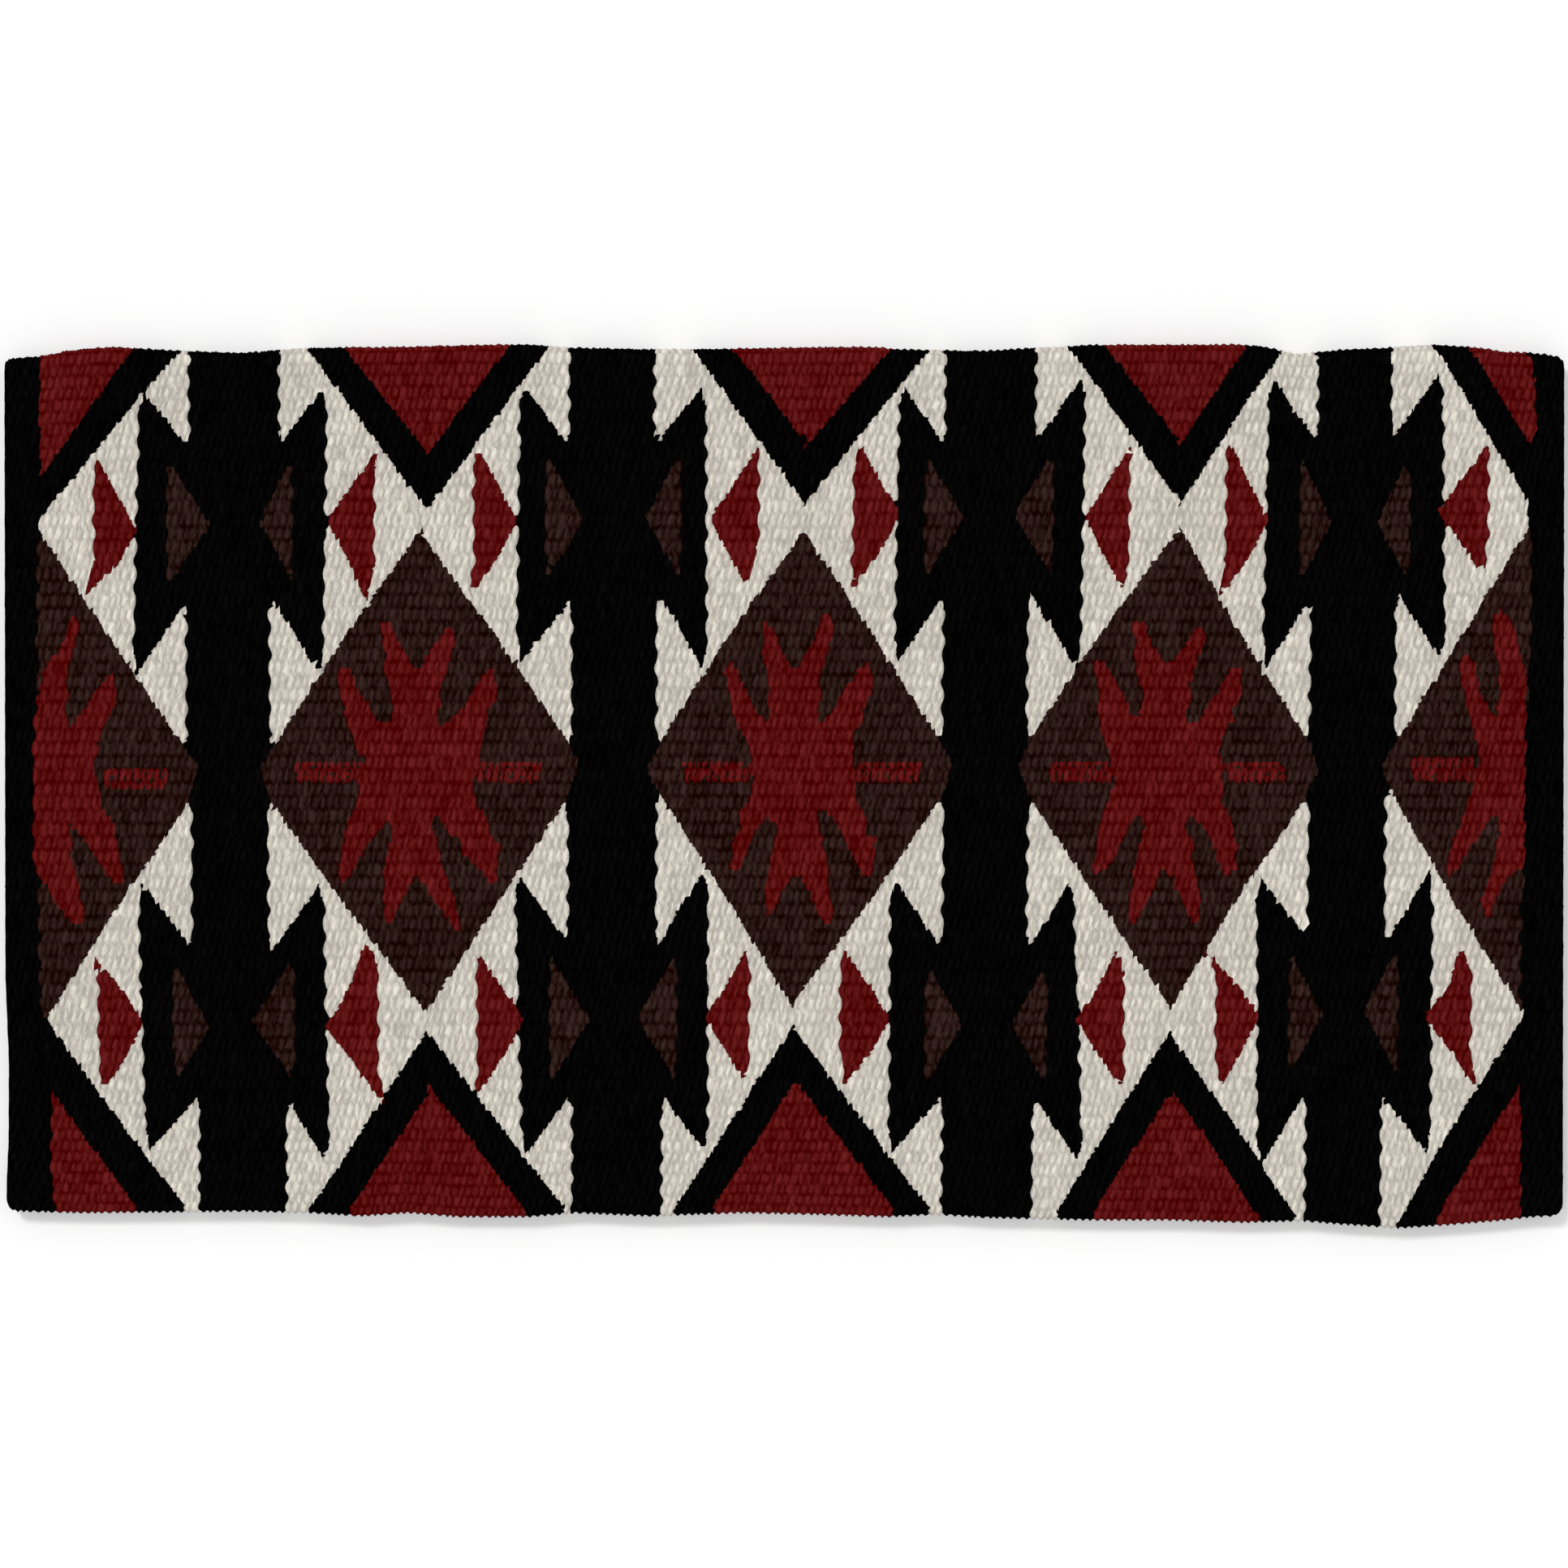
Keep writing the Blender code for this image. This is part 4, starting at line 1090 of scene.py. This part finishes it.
def flat_area(piece):
    """The cloth's flat area and extent, from the piece's own UV plan: half the sum of x dy - y dx
    round each square of the outer face, whose squares run the positive way round."""
    mesh = piece.data
    count = len(mesh.loops)
    uv = np.zeros(2 * count, np.float32)
    mesh.uv_layers["cloth"].data.foreach_get("uv", uv)
    uv = uv.reshape(-1, 2).astype(float)
    start = np.zeros(len(mesh.polygons), np.int32)
    total = np.zeros(len(mesh.polygons), np.int32)
    mesh.polygons.foreach_get("loop_start", start)
    mesh.polygons.foreach_get("loop_total", total)
    first = start[total == 4]
    x, y = (uv[first[:, None] + np.arange(4), axis] for axis in (0, 1))
    signed = 0.5 * (x * np.roll(y, -1, 1) - y * np.roll(x, -1, 1)).sum(1)
    return signed[signed > 0].sum(), uv.max(0) - uv.min(0)


def declare(piece):
    """Works out what flat cloth a piece is: its extent and its area. Nothing is kept."""
    area, (width, length) = flat_area(piece)
    if area < NOTCHED_FILL * width * length:
        width = area / length


def upper_piece(node):
    """One colour area of the upper leaf, in place of its CAD node."""
    owner, names = upper_owner()
    piece = woven_piece(node + "_weave", owner == names.index(node))
    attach(piece, "upper_leaf")
    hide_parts(node)
    return piece


def upper_group(prefix):
    """All the areas of the upper leaf whose node begins with a name."""
    nodes = sorted(n for n in frame["nodes"] if n.startswith(prefix))
    if not nodes:
        raise RuntimeError(f"the frame has no {prefix} nodes")
    return [upper_piece(node) for node in nodes]


class BLANKET_OT_white_crosses(bpy.types.Operator):
    """Weave the white stepped crosses above and below each diamond"""
    bl_idname = "blanket.white_crosses"
    bl_label = "White Crosses"

    def execute(self, context):
        upper_group("upper_white")
        upper_group("lower_white")
        return {"FINISHED"}


class BLANKET_OT_red_motifs(bpy.types.Operator):
    """Weave the red lozenges, the red stars, and the red triangles at the fold and the selvedge"""
    bl_idname = "blanket.red_motifs"
    bl_label = "Red Lozenges, Stars and Triangles"

    def execute(self, context):
        for prefix in ("upper_lozenge", "lower_lozenge", "red_star", "fold_red", "selvedge_red"):
            upper_group(prefix)
        return {"FINISHED"}


class BLANKET_OT_black_bands(bpy.types.Operator):
    """Weave the black bands: round the red triangles, between the motifs and at both ends"""
    bl_idname = "blanket.black_bands"
    bl_label = "Black Bands"

    def execute(self, context):
        for prefix in ("fold_band", "selvedge_band"):
            upper_group(prefix)
        for prefix in ("spine_band", "end_border"):
            for piece in upper_group(prefix):
                declare(piece)
        return {"FINISHED"}


class BLANKET_OT_brown_diamonds(bpy.types.Operator):
    """Weave the brown diamonds, and work out the flat cloth of each one"""
    bl_idname = "blanket.brown_diamonds"
    bl_label = "Brown Diamonds"

    def execute(self, context):
        for diamond in upper_group("brown_diamond"):
            declare(diamond)
        return {"FINISHED"}


class BLANKET_OT_spine_fold(bpy.types.Operator):
    """Weave the four rows of the fold, in their folded place"""
    bl_idname = "blanket.spine_fold"
    bl_label = "Spine Fold"

    def execute(self, context):
        data = cloth()
        replaced = (("spine_rib_1",), ("spine_rib_1", "spine_rib_2"),
                    ("spine_rib_2", "spine_rib_3"), ("spine_rib_3",))
        for number in range(4):
            row = data["leaf_rows"] + 3 - number
            cells = np.zeros(data["kind"].shape, bool)
            cells[2 * row:2 * row + 2] = True
            piece = woven_piece(f"spine_fold_row_{number + 1}", cells)
            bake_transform(piece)
            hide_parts(*replaced[number])
        return {"FINISHED"}


class BLANKET_OT_lower_leaf(bpy.types.Operator):
    """Weave the lower leaf, which carries the same pattern turned over the spine"""
    bl_idname = "blanket.lower_leaf"
    bl_label = "Lower Leaf"

    def execute(self, context):
        data = cloth()
        leaf = np.zeros(data["kind"].shape, bool)
        leaf[2 * (data["leaf_rows"] + 4):] = True
        colour = kind_colours(data["kind"])
        left = np.broadcast_to(np.arange(leaf.shape[1]) < leaf.shape[1] // 2, leaf.shape)
        areas = (
            ("white", leaf & (colour == WOOLS.index("white")), "wool_white"),
            ("red", leaf & (colour == WOOLS.index("red")), "wool_red"),
            ("brown", leaf & (colour == WOOLS.index("brown")), "wool_brown"),
            ("black_left", leaf & (colour == WOOLS.index("black")) & left, "wool_black"),
            ("black_right", leaf & (colour == WOOLS.index("black")) & ~left, "wool_black"),
        )
        pieces = {}
        for name, where, slot in areas:
            piece = pieces[name] = woven_piece(f"lower_leaf_{name}", where)
            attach(piece, "lower_leaf")
            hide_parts("lower_leaf")
        declare(pieces["black_left"])
        declare(pieces["black_right"])
        return {"FINISHED"}


def lay_floor(scene):
    """A square floor that shows white to the camera and to reflections, and keeps the shadow."""
    side = FLOOR_HALF_SIDE
    mesh = bpy.data.meshes.new("studio_floor")
    mesh.from_pydata([(-side, -side, 0), (side, -side, 0), (side, side, 0), (-side, side, 0)],
                     [], [(0, 1, 2, 3)])
    floor = bpy.data.objects.new("studio_floor", mesh)
    scene.collection.objects.link(floor)
    paint = bpy.data.materials.new("studio_floor_white")
    paint.use_nodes = True
    tree = paint.node_tree
    rays = add_node(tree, "LightPath", {}).outputs
    seen = rays["Is Camera Ray"]
    for ray in ("Is Glossy Ray", "Is Transmission Ray"):
        seen = add_node(tree, "Math", {0: seen, 1: rays[ray]}, operation="MAXIMUM")
        seen = seen.outputs["Value"]
    glow = add_node(tree, "Math", {0: seen, 1: scene.blanket_stage.floor_glow},
                    operation="MULTIPLY")
    fill(tree.nodes["Principled BSDF"], {
        "Base Color": (*scene.blanket_colours.floor, 1), "Roughness": 0.9,
        "Specular IOR Level": 0.0, "Emission Color": (1, 1, 1, 1),
        "Emission Strength": glow.outputs["Value"]})
    mesh.materials.append(paint)


def light_softly(scene):
    """A white surround, and a soft sun that leans a little to the back and to the left."""
    world = scene.world = bpy.data.worlds.new("soft_surround")
    world.use_nodes = True
    fill(world.node_tree.nodes["Background"], {
        "Color": (1, 1, 1, 1), "Strength": scene.blanket_stage.world_strength})
    sun = bpy.data.lights.new("soft_sun", "SUN")
    sun.energy = scene.blanket_stage.sun_strength
    sun.angle = SUN_SOFTNESS
    lamp = bpy.data.objects.new("soft_sun", sun)
    lamp.rotation_euler = SUN_TILT
    scene.collection.objects.link(lamp)


def look_down(scene):
    """The camera straight above, as high as makes the cloth's face as wide as in the photograph:
    its height is that width times the focal length over the sensor's width."""
    settings = scene.blanket_stage
    camera = bpy.data.cameras.new("overhead_camera")
    camera.sensor_width = 36.0
    camera.sensor_fit = "HORIZONTAL"
    camera.lens = settings.focal_length
    camera.clip_end = 50
    height = settings.image_width * settings.focal_length / camera.sensor_width
    middle = (IMAGE_SIDE / 2 - (FOLD_PIXEL + SELVEDGE_PIXEL) / 2) * PIXEL
    eye = bpy.data.objects.new("overhead_camera", camera)
    eye.location = (EYE_SHIFT[0], -middle + EYE_SHIFT[1], height + FACE_HEIGHT)
    scene.collection.objects.link(eye)
    scene.camera = eye
    scene.view_settings.view_transform = "Standard"


class BLANKET_OT_stage(bpy.types.Operator):
    """Set the pale floor, the soft light and the camera straight above"""
    bl_idname = "blanket.stage"
    bl_label = "Stage"

    def execute(self, context):
        lay_floor(context.scene)
        light_softly(context.scene)
        look_down(context.scene)
        return {"FINISHED"}


class BLANKET_PT_panel(bpy.types.Panel):
    """Weaves the blanket step by step"""
    bl_idname = "BLANKET_PT_panel"
    bl_label = "Saddle Blanket"
    bl_space_type = "VIEW_3D"
    bl_region_type = "UI"
    bl_category = "Blanket"

    def draw(self, context):
        for group in ("blanket_sizes", "blanket_colours", "blanket_stage"):
            box = self.layout.box()
            settings = getattr(context.scene, group)
            for name in settings.__annotations__:
                box.prop(settings, name)
        for step in STEPS:
            self.layout.operator(step.bl_idname)


STEPS = (BLANKET_OT_white_crosses, BLANKET_OT_red_motifs, BLANKET_OT_black_bands,
         BLANKET_OT_brown_diamonds, BLANKET_OT_spine_fold, BLANKET_OT_lower_leaf, BLANKET_OT_stage)
CLASSES = (BlanketSizes, BlanketColours, StageSettings, *STEPS, BLANKET_PT_panel)


def register():
    """Make the classes and the scene's settings known."""
    for made in CLASSES:
        bpy.utils.register_class(made)
    bpy.types.Scene.blanket_sizes = PointerProperty(type=BlanketSizes)
    bpy.types.Scene.blanket_colours = PointerProperty(type=BlanketColours)
    bpy.types.Scene.blanket_stage = PointerProperty(type=StageSettings)


def unregister():
    """Take them out again, in reverse."""
    del bpy.types.Scene.blanket_stage
    del bpy.types.Scene.blanket_colours
    del bpy.types.Scene.blanket_sizes
    for made in reversed(CLASSES):
        bpy.utils.unregister_class(made)


def main():
    """Weave the blanket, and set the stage."""
    register()
    for step in STEPS:
        group, name = step.bl_idname.split(".")
        getattr(getattr(bpy.ops, group), name)()


if __name__ == "__main__":
    main()
